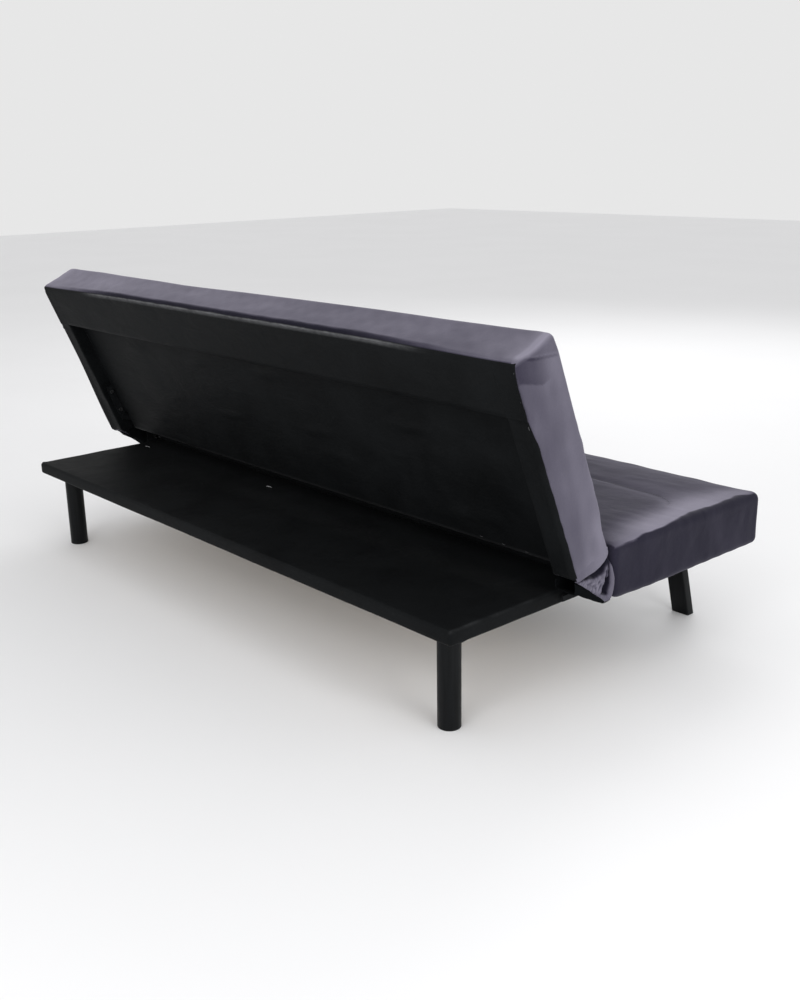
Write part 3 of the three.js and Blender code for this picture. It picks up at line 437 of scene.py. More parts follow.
def spreadField(coarse, field, fine):  # a field on a coarse box's faces, carried to a fine one's
    out = np.zeros([len(line) for line in fine] + [3])
    carry = [betweenLines(c, f) for c, f in zip(coarse, fine)]
    for axis in range(3):
        u, v = [a for a in range(3) if a != axis]
        for side in (0, -1):
            face = np.take(field, side, axis)
            moved = np.einsum("pi,qj,ijk->pqk", carry[u], carry[v], face)
            spot = [slice(None)] * 3
            spot[axis] = side
            out[tuple(spot)] = moved
    return out


# ---- padded forms: rounded edges, a crown, sides that draw in and a sewn channel

channel = {"width": 15, "straight": 1500, "hook": 69, "hookRise": 43, "sewn": 12, "steps": (14, 150)}
padCurve = {"face": 3, "crown": 6, "draw": 2, "wall": 7}  # powers
padReach = {"corner": 42, "end": 60, "rim": (20, 4), "rimLength": 140, "rimRear": (262, 225)}
coverThickness = 2.4
seatPad = {
    "half": (900, 260.5, 56), "radius": 18, "crown": 9, "drawIn": 5, "bow": 0, "heldBelow": -38,
    "channelAt": -66.5, "channelDepth": 1.6, "channelSide": 1, "cornerPull": (0, 0, 0), "threadDip": 0.8,
    "out": 5, "outFrom": (-90, -60), "forward": 3.5, "down": 8.5, "calm": (235, 120), "heel": (0, 0, 0),
    "rise": ((-900, 900), (0, 0)),
}
backPad = {
    "half": (900, 241.75, 53.5), "radius": 13, "crown": 8, "drawIn": 4, "bow": 8, "heldBelow": -30,
    "channelAt": 66.75, "channelDepth": 5, "channelSide": -1, "cornerPull": (2, 2, 2), "threadDip": 1.5,
    "out": 4.5, "outFrom": (-38, -10), "forward": 4.5, "down": 0, "calm": (-200, -130), "heel": (8, -4, -5),
    "rise": ((-900, -832, -733, -629, -500, -200, 40, 200, 300, 400, 500, 600, 711, 830, 900),
             (8, 7.4, 5.5, 2.2, 0.3, -1, -3, -5.8, -6.5, -4.3, -3.2, 0, 6, 7.3, 7.3)),
}
seatMiddle = (0, -192.5, 268)
lean = math.radians(22.2)
backFoot = (180.87, 273.97)  # lower rear edge of the backrest, y and z


def channelOff(pad, x, across):
    past = np.abs(x) - channel["straight"] / 2
    share = np.clip(past / channel["hook"], 0, 1)
    bend = channel["hookRise"] * (1 - np.sqrt(1 - share * share))
    beyond = np.maximum(0, past - channel["hook"])
    return np.hypot(pad["channelSide"] * (across - pad["channelAt"]) - bend, beyond)


def topBow(pad, x, share):  # the top edge stands higher between its corners
    return pad["bow"] * (1 - ease(430, 860, np.abs(x))) * np.clip(share, 0, 1) ** 8


def heelShare(x, up):  # the lower end on the right stands out most
    return ease(872, 898, x) * ease(280, 40, up)


def padPlace(params, pad, wall=0.0):
    half = np.array(pad["half"]) - wall
    radius = pad["radius"] - wall
    core = np.clip(params, radius - half, half - radius)
    off = params - core
    length = np.maximum(np.linalg.norm(off, axis=1), 1e-9)
    place = core + off * (np.abs(off).max(axis=1) / length)[:, None]
    x, across, depth = place.T
    far, side, high = np.abs(x), np.sign(x), np.clip(depth / half[2], 0, 1)
    crownX, crownY = (fall(v, size, padCurve["crown"]) for v, size in ((x, half[0]), (across, half[1])))
    groove, deeper = channel["width"] + 5 * wall, 1.7 * wall  # the foam is cut wider than the cover dips
    press = (pad["channelDepth"] + deeper) * hill(channelOff(pad, x, across), 0, groove)
    middle = pad["drawIn"] * fall(depth, half[2], padCurve["draw"])
    pullX = middle * fall(across, half[1], padCurve["draw"]) * steepen(x / half[0], padCurve["wall"])
    pullY = middle * fall(x, half[0], padCurve["draw"]) * steepen(across / half[1], padCurve["wall"])
    swollen = high ** padCurve["face"] * (pad["crown"] * crownX * crownY - press)
    place = asPlaces(x - pullX, across - pullY + topBow(pad, x, across / half[1]), depth + swollen)
    reach, (rimFrom, rimTo) = padReach["corner"], padReach["rim"]
    corner = ease(half[0] - reach, half[0], far) * ease(half[1] - reach, half[1], across)
    corner *= ease(10, half[2], depth)
    place -= corner[:, None] * np.array(pad["cornerPull"]) * asPlaces(side, 1, 1)
    end = ease(half[0] - padReach["end"], half[0], far) * ease(*pad["calm"], across)
    place[:, 0] += side * pad["out"] * end * ease(*pad["outFrom"], depth)
    place[:, 2] += pad["forward"] * end * high**2
    place[:, 1] += np.interp(x, *pad["rise"]) * np.clip(across / half[1], 0, 1) ** 8 * high
    atFront = ease(rimFrom - half[1], rimTo - half[1], across)
    rim = np.maximum(ease(half[0] - rimFrom, half[0] - rimTo, far), atFront)
    rim *= ease(0, -50, depth) * ease(half[0] - padReach["rimLength"], half[0] - rimTo, far)
    place[:, 2] -= pad["down"] * rim * (0.4 + 0.6 * ease(*padReach["rimRear"], across))
    heel = heelShare(x, across + half[1]) * ease(0, -40, depth)
    return place + heel[:, None] * np.array(pad["heel"])


def seatToRow(place):
    return place + np.array(seatMiddle)


def upFrame(place):  # a place on the back's pad as x, height up its frame and depth in front of it
    return place[:, 0], place[:, 1] + backPad["half"][1], place[:, 2] + backPad["half"][2]


def backToRow(place):
    return onBack(*upFrame(place))


def onBack(x, up, depth):
    y = backFoot[0] + math.sin(lean) * up - math.cos(lean) * depth
    z = backFoot[1] + math.cos(lean) * up + math.sin(lean) * depth
    return asPlaces(x, y, z)


def padLines(pad, cells, marks=((), (), ()), steps=3):
    return [boxLines(h, pad["radius"], c, m, steps) for h, c, m in zip(pad["half"], cells, marks)]


puff = {"pressure": 4.0, "frames": 20, "cell": 22, "cap": 2.6, "firm": 14, "quality": 6}


def puffField(pad, lines):  # how far the cloth swells from the pad's form, on a coarse box
    counts = [len(line) for line in lines]
    params, quads, used = latticeShell(lines)
    rest = padPlace(params, pad)
    mesh = bpy.data.meshes.new("puffing")
    mesh.from_pydata((rest * mm).tolist(), [], quads.tolist())
    cloth = bpy.data.objects.new("puffing", mesh)
    scene.collection.objects.link(cloth)
    pins = cloth.vertex_groups.new(name="held")
    held = (params[:, 2] < pad["heldBelow"]) | sewnDown(pad, params)
    for index in np.flatnonzero(held):
        pins.add([int(index)], 1.0, "REPLACE")
    swell = cloth.modifiers.new("swell", "CLOTH")
    swell.settings.use_pressure = True
    swell.settings.uniform_pressure_force = puff["pressure"]
    swell.settings.vertex_group_mass = "held"
    swell.settings.effector_weights.gravity = 0
    swell.settings.quality = puff["quality"]
    swell.point_cache.frame_start = 1
    swell.point_cache.frame_end = puff["frames"]
    for step in range(1, puff["frames"] + 1):
        scene.frame_set(step)
    shaped = cloth.evaluated_get(bpy.context.evaluated_depsgraph_get()).data
    moved = np.zeros(len(rest) * 3)
    shaped.vertices.foreach_get("co", moved)
    moved = moved.reshape(-1, 3) / mm - rest
    bpy.data.objects.remove(cloth)
    scene.frame_set(1)
    way = outward(rest, quads)
    out = np.maximum(0, (moved * way).sum(axis=1))  # the foam stops the cloth from going in
    print("swell of", pad["half"], "is", round(float(out.mean()), 2), "to", round(float(out.max()), 2))
    field = np.zeros((np.prod(counts), 3))
    field[used] = way * (puff["cap"] * (1 - np.exp(-out / puff["firm"])))[:, None]
    return field.reshape(counts + [3])


def sewnDown(pad, params):
    return (params[:, 2] > 30) & (channelOff(pad, params[:, 0], params[:, 1]) < channel["sewn"])


def padCover(name, pad, lines, opened, toRow, relief, nap):
    coarse = padLines(pad, [puff["cell"]] * 3, steps=2)
    params, quads, used = latticeShell(lines)
    place = padPlace(params, pad) + spreadField(coarse, puffField(pad, coarse), lines).reshape(-1, 3)[used]
    place = place + outward(place, quads) * relief(params)[:, None]
    kept = quads[~opened(params[quads].mean(axis=1))]
    used, kept = np.unique(kept, return_inverse=True)
    # nap: the painted light and shade at each point of the cover
    piece = makePiece(name, toRow(place[used]), kept.reshape(-1, 4), "velvet", nap=nap(params[used]))
    return thicken(piece, coverThickness)


def outward(place, quads):
    a, b, c, d = (place[quads[:, i]] for i in range(4))
    face = np.cross(c - a, d - b)
    normal = np.zeros_like(place)
    for i in range(4):
        np.add.at(normal, quads[:, i], face)
    return normal / np.maximum(np.linalg.norm(normal, axis=1), 1e-9)[:, None]


# ---- seat

seatCut = {
    "baseEnd": 834.4, "slot": (825.3, 845.3), "slotFront": 54, "slotTop": 316.2, "baseTop": 237.3,
    "under": -55.9, "openX": 880, "openFront": -433, "rear": 260.4,
}


def between(value, ends):
    return (value > ends[0]) & (value < ends[1])


def inSlot(x):  # where the hinge arms run
    return between(np.abs(x), seatCut["slot"])


def stitchPull(pad, params, seed):  # small gathers beside the stitching, and the pad's soft unevenness
    x, across, depth = params.T
    off = channelOff(pad, x, across)
    near = hill(off, 0, 26) * (1 - hill(off, 0, 7)) * (depth > 30)
    ripple = 0.5 + 0.5 * np.sin(x / 4.6 + 2.4 * waves(params * (1, 0, 0), 80, seed))
    thread = pad["threadDip"] * hill(off, 0, 4.5) * (depth > 30)
    soft = waves(params * (1, 1.5, 1.2), 210, seed + 1) + 0.5 * waves(params * (1, 2.2, 1), 90, seed + 2)
    soft = 1.1 * np.clip(soft, -0.6, 2) * ease(-30, 10, depth)
    return 0.45 * pad["threadDip"] * ripple * near - thread + soft


def hemRipple(params, length, warp, reach, seed):
    return 0.5 + 0.5 * np.sin((params[:, 0] + params[:, 1]) / length + warp * waves(params, reach, seed))


def seatRelief(params):
    hem = ease(20, -50, params[:, 2]) * 0.7 * hemRipple(params, 9, 1.7, 120, 9)
    return np.maximum(-0.2, stitchPull(seatPad, params, 3) + hem)


def seatOpened(middle):
    x, y, z = seatToRow(middle).T
    under = (middle[:, 2] < seatCut["under"]) & (np.abs(x) < seatCut["openX"]) & (y > seatCut["openFront"])
    way = (middle[:, 1] > seatCut["rear"]) & (np.abs(x) < seatCut["baseEnd"]) & (z < seatCut["baseTop"])
    slot = inSlot(x) & (y > seatCut["slotFront"]) & (z < seatCut["slotTop"])
    return under | way | slot


seatSheen = {  # painted sheen and shade on the seat's top and ends: where the painted highlight turns at each end of the seat's top, from the rear to the front
    "y": (-453, -421, -381, -324, -275, -259, -205, -170, -138, -81, -41, 25, 68),
    "turn": (893, 894, 880, 882, 884, 879, 880, 881, 890, 894, 895, 900, 905),
    "inner": (885, 858, 832, 818, 805, 800, 830, 834, 834, 838, 842, 868, 885),
    "along": ((-453, -420, -300, -60, 20, 68), (0.35, 0.7, 0.95, 1, 0.7, 0.3)),
    "end": 0.04, "top": 0.075, "band": 0.99, "rear": 0.05,
}


def seatPaintedLight(params):
    x, across, depth = params.T
    far = np.abs(x) + 1.6 * waves(params * (0, 1, 0), 60, 61)
    y = across + seatMiddle[1]
    turn, inner = (np.interp(y, seatSheen["y"], seatSheen[line]) for line in ("turn", "inner"))
    along = np.interp(y, *seatSheen["along"])
    # painted highlight: a light band along the top edge at each end
    band = ease(inner - 60, inner + 0.7 * (turn - inner), far) ** 1.4 * along
    # painted lighter sheen on the top behind the ends and towards the rear and front
    behind = 0.24 * hill(y, -290, 75) * ease(520, 760, far)
    beyond = 0.10 * ease(-330, -430, y) + 0.08 * ease(-30, 40, y)
    seam = channelOff(seatPad, x, across)
    top = seatSheen["top"] + (seatSheen["band"] - seatSheen["top"]) * band + (behind + beyond) * (1 - band)
    # painted shade along the sewn channel, with a faint painted highlight beside it
    top = top - 0.14 * hill(seam, 0, 4) + 0.03 * hill(seam, 13, 7)
    over = far + np.maximum(0, seatPad["half"][2] - depth)  # along the top, then down the end
    lit = ease(turn + 3, turn - 2, over)
    # painted highlight down the front corner of each end
    rim = 0.3 * hill(np.hypot(far - 899, across + 259), 0, 5)
    # painted shade: the ends darker than the top, and the rear face dark
    rear = ease(258, seatCut["rear"], across)
    tone = seatSheen["end"] + (top - seatSheen["end"]) * lit + rim * (1 - lit)
    # the front face, painted lighter near the top where the highlight band reaches it
    front = 0.17 + 0.03 * waves(params, 160, 62) + 0.2 * band * ease(10, 56, depth)
    tone = np.where(across < -seatCut["rear"], np.maximum(front, rim * (far > 896)), tone)
    return tone * (1 - rear) + seatSheen["rear"] * rear


def makeSeatCover():
    base, (slotLow, slotHigh), half = seatCut["baseEnd"], seatCut["slot"], seatPad["half"][0]
    lines = padLines(seatPad, (9, 8, 6), [
        (-base, -slotLow, -750, 750, slotLow, base),
        (-240.5, seatPad["channelAt"], 246.5),
        (-30.7, 48.2),
    ])
    turns = np.arange(slotHigh, half - 1, 2.6)
    lines[0] = np.unique(np.concatenate([lines[0][np.abs(lines[0]) < 842], -turns, turns, [-half, half]]))
    piece = padCover("seatCover", seatPad, lines, seatOpened, seatToRow, seatRelief, seatPaintedLight)
    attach(piece, "frame")
    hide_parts("seat_cover")


makeSeatCover()
print("seat cover sewn")

# ---- backrest cover

backCut = {"rearEnd": 889, "low": 11, "high": 472.5, "hollow": 845.3, "hollowDeep": 36, "slotUp": 40,
           "slotDeep": 104.6}
backFold = {"upper": ((478, 30), (450, 93)), "height": 1.6, "patchLow": (438, 415)}


def foldLine(forward):  # height of the end's fold at each depth
    (s0, d0), (s1, d1) = backFold["upper"]
    return s0 + (s1 - s0) * (forward - d0) / (d1 - d0)


def backRelief(params):
    x, up, forward = upFrame(params)
    across, depth = params[:, 1], params[:, 2]
    hem = ease(-20, -50, depth) * 0.5 * hemRipple(params, 11, 1.9, 130, 19)
    relief = np.maximum(-0.2, stitchPull(backPad, params, 13) * ease(200, 120, across) + hem)
    line = foldLine(forward)
    side = ease(896, 899, np.abs(x)) * ease(10, 30, forward) * ease(104, 90, forward)
    relief += side * backFold["height"] * ease(line - 14, line, up) * ease(line + 4, line, up)
    tuck = topBow(backPad, x, 1.0) * ease(226, 234, across) * ease(-42, -48, depth)
    return relief - 0.6 * tuck  # the velvet dips in behind the black cloth's hem


def backOpened(middle):
    x, up, depth = upFrame(middle)
    rear = (depth < 0.1) & (np.abs(x) < backCut["rearEnd"]) & (up > backCut["low"]) & (up < backCut["high"])
    hollow = (np.abs(x) < backCut["hollow"]) & (depth < backCut["hollowDeep"]) & (up < 13)
    slot = inSlot(x) & (up < backCut["slotUp"]) & (depth < backCut["slotDeep"])
    return rear | hollow | slot


def sideTone(up, forward):  # how light the backrest's ends are painted: painted light and shade, lighter towards the front and lower down
    return 0.475 + 0.20 * ease(15, 95, forward) + 0.09 * ease(330, 60, up) - 0.02 * ease(200, 420, up)


# painted light along the backrest's top face, from end to end
topTones = ((-900, -860, -700, -300, 100, 500, 900), (0.62, 0.58, 0.54, 0.53, 0.56, 0.66, 0.76))


def backPaintedLight(params):
    x, up, forward = upFrame(params)
    across, end = params[:, 1], np.abs(x)
    top = ease(234, 240, across)
    # painted highlight along the mitred top corner of each end
    mitre = 0.36 * hill(end, 890, 6.5) + 0.12 * hill(end, 880, 17)
    topTone = np.interp(x, *topTones) + mitre * ease(5, 22, forward) + 0.06 * ease(20, 60, forward)
    side = ease(892, 898, end) * (1 - ease(238.5, 241, across))
    line = foldLine(forward)
    low = np.interp(forward, (8, 46), backFold["patchLow"])
    # painted shade: a patch under the end's fold, and along the fold line itself
    patch = ease(low - 1, low + 2, up) * ease(line + 2, line - 2, up) * ease(78, 40, forward)
    crease = hill(up - line, -3, 2.5) * ease(22, 34, forward) * ease(100, 92, forward)
    ends = sideTone(up, forward) - 0.21 * patch - 0.20 * crease - 0.12 * ease(line, line + 6, up)
    # painted shade along the sewn channel
    front = 0.45 - 0.14 * hill(channelOff(backPad, x, across), 0, 4)
    tone = front * (1 - top) * (1 - side) + topTone * top + ends * side * (1 - top)
    tone = tone + 0.022 * waves(params * (1, 1, 1.4), 95, 35) + 0.022 * waves(params * (1, 0.6, 1.3), 42, 36)
    behind = ease(17, 11, forward + 2 * waves(params * (1, 0, 0), 120, 97)) * ease(220, 227, across)
    groove = topBow(backPad, x, 1.0) / backPad["bow"] * behind
    # the rear face painted dark: painted shade
    tone = np.where((forward < 2) & (end < backCut["rearEnd"]), 0.1, tone)
    return tone * (1 - groove)  # painted shade behind the black cloth's hem


def makeBackCover():
    rearEnd, (slotLow, slotHigh) = backCut["rearEnd"], seatCut["slot"]
    lines = padLines(backPad, (9, 9, 5), [
        (-rearEnd, -slotHigh, -slotLow, -750, 750, slotLow, slotHigh, rearEnd),
        (-230.75, -228.75, backPad["channelAt"], *np.arange(168, 226, 4), 230.75),
        (-17.5, 51.1),
    ])
    piece = padCover("backCover", backPad, lines, backOpened, backToRow, backRelief, backPaintedLight)
    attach(piece, "backrest")
    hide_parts("back_cover")


makeBackCover()
print("backrest cover sewn")

# ---- foam pads under the covers

foamSize = {"wall": 2.7, "deckTop": 270.6, "backFrame": 59.6, "cell": 24}


def makeFoamPad(name, pad, low, slot, toRow, body, node):
    wall, (slotLow, slotHigh) = foamSize["wall"], seatCut["slot"]
    marks = ((-slotHigh, -slotLow, -750, 750, slotLow, slotHigh), (pad["channelAt"],), (low,))
    sizes = zip(np.array(pad["half"]) - wall, marks)
    lines = [boxLines(h, pad["radius"] - wall, foamSize["cell"], m, 2) for h, m in sizes]
    for axis, cut in ((1, "across"), (2, "depth")):
        lines[axis] = np.unique(np.append(lines[axis], slot[cut]))
    lines[2] = lines[2][lines[2] >= low - 1e-6]
    x, across, depth = np.meshgrid(*[(line[1:] + line[:-1]) / 2 for line in lines], indexing="ij")
    beyond = (across > slot["across"]) if slot["above"] else (across < slot["across"])
    params, quads, _ = latticeShell(lines, ~(inSlot(x) & beyond & (depth < slot["depth"])))
    piece = makePiece(name, toRow(padPlace(params, pad, wall)), quads, "foam")
    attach(piece, body)
    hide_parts(node)


makeFoamPad("seatFoam", seatPad, foamSize["deckTop"] - seatMiddle[2],
            {"across": 246.5, "above": True, "depth": 48.2}, seatToRow, "frame", "seat_foam")
makeFoamPad("backFoam", backPad, foamSize["backFrame"] - backPad["half"][2],
            {"across": -201.75, "above": False, "depth": 50.8}, backToRow, "backrest", "back_foam")
print("foam pads cut")

# ---- black cloth: base wrap, seat underside and the rear of the backrest

baseWrap = {
    "half": (834.4, 281, 15.5), "radius": 7, "middle": (0, 173, 221.6), "thickness": 1.2, "cell": 11,
    "slack": 0.7, "drawn": 2.9, "open": (801.4, 247), "board": 13.9,
    "boltX": (574.4, 594.4), "frontBolt": (-262, -248), "rearBolt": (-137.7, -125.7), "seatRear": -105,
}


def makeBaseWrap():
    half = np.array(baseWrap["half"], float)
    radius, board, (openX, openY) = (baseWrap[k] for k in ("radius", "board", "open"))
    boltX, frontBolt, rearBolt = (baseWrap[k] for k in ("boltX", "frontBolt", "rearBolt"))
    marks = [
        (-openX, *(-x for x in boltX), *boltX, openX),
        (-openY, *frontBolt, *rearBolt, baseWrap["seatRear"], openY),
        (),
    ]
    lines = [boxLines(h, radius, baseWrap["cell"], m, 3) for h, m in zip(half, marks)]
    params, quads, _ = latticeShell(lines)
    core = np.clip(params, radius - half, half - radius)
    off = params - core
    place = core + off * (radius / np.linalg.norm(off, axis=1))[:, None]
    inward = np.minimum(half[0] - np.abs(params[:, 0]), half[1] - np.abs(params[:, 1]))
    stapled = ease(4, 16, inward) * (params[:, 2] < -13)  # drawn up to the board
    place[:, 2] += baseWrap["drawn"] * stapled
    slack = baseWrap["slack"] * (0.5 + 0.5 * waves(params * (1, 1.5, 3), 210, 21))
    fold = 1.3 * hill(params[:, 1] + 0.9 * (14 - params[:, 2]), 272, 3.5)
    fold *= np.abs(params[:, 0]) - half[0] + radius > 0
    seen = ease(-104, -90, params[:, 1])
    place = place + outward(place, quads) * ((np.clip(slack, 0, 2) + fold) * seen)[:, None]
    middle = params[quads].mean(axis=1)
    x, y, z = np.abs(middle[:, 0]), middle[:, 1], middle[:, 2]
    under = (z < -board) & (x < openX) & (np.abs(y) < openY)
    nearBolt = between(y, frontBolt) | between(y, rearBolt)
    nearBolt &= between(x, boltX) & (np.abs(z) > board)
    used, kept = np.unique(quads[~(under | nearBolt)], return_inverse=True)
    place = place[used] + np.array(baseWrap["middle"])
    x, y, z = place.T
    edgeHighlight = hill(np.abs(x), 831.5, 2.5) * ease(229, 235, z) * ease(90, 260, y)
    edgeHighlight = 0.10 * edgeHighlight * (1 + 0.4 * waves(place, 60, 23))  # painted highlight along the end edges' rounding
    piece = makePiece("baseWrap", place, kept.reshape(-1, 4), "non_woven", fray=np.clip(edgeHighlight, 0, 1))
    thicken(piece, baseWrap["thickness"])
    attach(piece, "frame")
    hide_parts("base_cloth")


seatLining = {"bolt": (698.3, -412), "hole": 6, "reachX": 879.7, "ends": (-432.7, -107.3), "cell": 14,
              "z": 213.2, "sag": 2.6, "thickness": 0.9}


def makeSeatLining():
    (boltX, boltY), hole, cell = (seatLining[k] for k in ("bolt", "hole", "cell"))
    reach, (front, rear) = seatLining["reachX"], seatLining["ends"]
    xs = spaced([-reach, -boltX - hole, -boltX + hole, boltX - hole, boltX + hole, reach], cell)
    ys = spaced([front, boltY - hole, boltY + hole, rear], cell)
    x, y = gridSpots(xs, ys)
    flat = asPlaces(x, y, 0)
    sag = fall(x, 800, 2) * np.clip(np.sin(math.pi * np.clip((y + 390) / 275, 0, 1)), 0, 1)
    creases = 0.8 * (0.5 + 0.5 * waves(flat * (1, 2, 1), 160, 31))
    z = seatLining["z"] - sag * (seatLining["sag"] + creases)
    quads = gridSheet(len(xs), len(ys))[:, ::-1]
    middle = flat[quads].mean(axis=1)
    holes = (np.abs(np.abs(middle[:, 0]) - boltX) < hole) & (np.abs(middle[:, 1] - boltY) < hole)
    piece = makePiece("seatLining", asPlaces(x, y, z), quads[~holes], "non_woven", fray=0 * x)
    thicken(piece, seatLining["thickness"])
    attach(piece, "frame")
    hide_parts("seat_lining")


rearCloth = {
    "reachX": 887, "top": 477.0, "boardStep": 1.3, "bottom": 1.5, "wallX": 844.85, "recess": 35,
    "hollowTop": 366, "thickness": 0.85, "cell": 9, "over": 0.95, "round": 13, "turn": 1.4,
    "slot": (827.0, 59.5), "overEnds": (879, 888), "overTop": (465, 473), "topRound": 470.5,
    "roundEnd": (13, 11, 9, 7, 5, 3, 1.5), "under": (-1.6, -1.1, -0.4, 0.6), "folded": (0.6, 1.2, 1.8, 2.4),
    "wrapUp": (0, 100, 268, 297, 320, 345, 364, 399, 429, 465, 484),  # how far round the corner, up the end
    "wrap": (58, 59, 54, 52, 49, 33, 27, 26, 24, 36, 40),
}


def wallPath(outer, wall, inner, cut):  # lines along, down a wall and on: their place and how far down
    deep, cell, turn = (rearCloth[k] for k in ("recess", "cell", "turn"))
    run = [(v, 0.0) for v in spaced([outer, wall + turn], cell)]
    run += [(wall + turn * 0.4, turn * 0.25 / deep), (wall, turn / deep)]
    run += [(wall, share) for share in np.linspace(0.15, 0.9, 5)]
    run += [(wall, 1 - turn / deep), (wall - turn * 0.4, 1 - turn * 0.25 / deep)]
    run += [(v, 1.0) for v in spaced([wall - turn, inner], cell)] + [(cut, 1.0)]
    return sorted(run, key=lambda line: (-line[0], line[1]))


def quarter(radius, past):  # drop of a rounded edge, by how far past its start
    return radius - np.sqrt(radius**2 - past**2)


def liningLines():  # the grid's lines across and up, each with how far down the hollow's wall it lies
    edge, reach, (slotX, slotUp) = (rearCloth[k] for k in ("top", "reachX", "slot"))
    across = [(reach + step, 0.0) for step in rearCloth["roundEnd"]]
    across += wallPath(reach, rearCloth["wallX"], 0, slotX)
    across = [(-v, share) for v, share in across] + across[-2::-1]
    up = [(v, 1.0) for v in rearCloth["under"]]
    up += wallPath(edge, rearCloth["hollowTop"], rearCloth["bottom"], slotUp)[::-1]
    up += [(edge + step, 0.0) for step in rearCloth["folded"]]
    return np.array(across).T, np.array(up).T


def liningDepth(flat, down, ragged, raised):  # how deep the cloth lies in from the back's rear
    deep, over, corner, edge = (rearCloth[k] for k in ("recess", "over", "round", "top"))
    endsFrom, topFrom = rearCloth["overEnds"], rearCloth["overTop"]
    far, s, flush, floored = np.abs(flat[:, 0]), flat[:, 1], down < 0.01, down > 0.99
    overVelvet = np.maximum.reduce([ease(*endsFrom, far), ease(*topFrom, s), ease(16, 8, s) * (far > 846)])
    roll = hill(s - edge, -1, 3.0) * (0.7 + 0.3 * ragged) * raised
    tacked = hill(far, 885, 4) * (s > 14) * (0.5 + 0.5 * waves(flat, 60, 79))
    floorWaves = 0.8 * (0.5 + 0.5 * waves(flat * (1, 1.8, 1), 240, 41)) * floored
    creases = 0.9 * np.clip(waves(flat * (0.7, 4, 1), 190, 42), 0, 1.5) ** 3 * floored
    bandWaves = 0.35 * waves(flat * (1, 3, 1), 150, 43) * (flush & (far < endsFrom[0]) & (s < topFrom[0]))
    depth = deep * down - overVelvet * flush * over - np.clip(bandWaves, -0.3, 0.3)
    depth = depth - (floorWaves + creases) * ease(2, 14, s) - 1.3 * roll - 0.5 * tacked
    depth += 1.6 * ease(edge + 0.6, edge + 2.4, s)  # the folded edge turns in
    depth -= rearCloth["boardStep"] * ease(364.6, 366.4, s) * flush * ease(470, 460, s)  # over the top board
    depth += quarter(corner, np.clip(s - rearCloth["topRound"], 0, 12.8)) * (1 - 0.8 * raised)
    underBand = quarter(corner, np.clip(corner - s, 0, 12.9)) + 5 * np.clip(-s, 0, 2)
    turned = corner * ease(2, rearCloth["under"][0], s) ** 2
    return depth + np.where(down > 0.5, turned, underBand)  # turned in under the lower end


def makeBackLining():
    over, corner, edge, reach = (rearCloth[k] for k in ("over", "round", "top", "reachX"))
    slotX, slotUp = rearCloth["slot"]
    (xs, xShare), (ups, upShare) = liningLines()
    x, s = gridSpots(xs, ups)
    down = np.multiply(*gridSpots(xShare, upShare))
    flat = asPlaces(x, s, 0)
    far, side = np.abs(x), np.sign(x)
    raised = 1 - ease(430, 800, far)
    ragged = 0.4 * waves(flat * (1, 0, 0), 26, 71) + 0.6 * waves(flat * (1, 0, 0), 90, 73)
    bow = topBow(backPad, x, 1.0) * ease(300, 478, s) ** 2 + ease(edge - 6, edge + 3, s) * ragged * raised
    depth = liningDepth(flat, down, ragged, raised)
    wrap = np.interp(s, rearCloth["wrapUp"], rearCloth["wrap"]) + 2.0 * waves(flat * (0, 1, 0), 34, 77)
    turn = np.clip((far - reach) / corner, 0, 1) * np.radians(wrap)
    placeX = side * np.where(far > reach, reach + (corner + over) * np.sin(turn), far)
    depth += (corner + over) * (1 - np.cos(turn))
    # painted highlight along the black cloth's folded top hem, and a fainter one along its lower edge
    fray = hill(s - edge, 0.6, 1.15) * ease(700, 520, far) * (1.15 + 0.25 * ragged)
    low = ease(9, 3, s) * ease(-1, 1, s) * (down > 0.9) * 0.25
    quads = gridSheet(len(xs), len(ups))
    middle = flat[quads].mean(axis=1)
    slot = (np.abs(middle[:, 0]) > slotX) & (middle[:, 1] < slotUp) & (down[quads].min(axis=1) > 0.955)
    heel = heelShare(placeX, s) * (down < 0.01)
    aside, lower, behind = (share * heel for share in backPad["heel"])
    place = onBack(placeX + aside, s + bow + lower, depth + behind)
    piece = makePiece("backLining", place, quads[~slot], "non_woven", fray=np.clip(fray + low, 0, 1.5))
    thicken(piece, rearCloth["thickness"])
    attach(piece, "backrest")
    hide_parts("back_lining")


pocketCloth = {"x": (826.1, 844.75), "up": (0.5, 39.2, 40.2, 61), "front": 34.6, "lip": 1.3,
               "deep": (103.4, 59.2), "thickness": 0.5}
seatRearCloth = {"y": 69.3, "reachX": 824.5, "low": 238.2, "high": 287, "thickness": 0.7}


def makePocketCloth(side, end):  # lines the pocket that the hinge arm lies in: two walls and the deep end
    (low, high), (deep, shallow) = pocketCloth["x"], pocketCloth["deep"]
    ups, along = spaced(pocketCloth["up"], 7), np.linspace(0, 3, 28)
    up, around = gridSpots(ups, along)
    reach = np.where(up < 39.7, deep, shallow) - pocketCloth["front"]
    depth = pocketCloth["front"] + reach * np.clip(around, 0, 1) * np.clip(3 - around, 0, 1)
    depth -= pocketCloth["lip"] * (around == 0)  # laps over the wall's own lining
    x = high + (low - high) * np.clip(around - 1, 0, 1)
    piece = laySheet(f"pocketCloth{end}", onBack(side * x, up, depth), (len(ups), len(along)), "non_woven",
                     pocketCloth["thickness"], side > 0, fray=0 * up)
    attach(piece, "backrest")


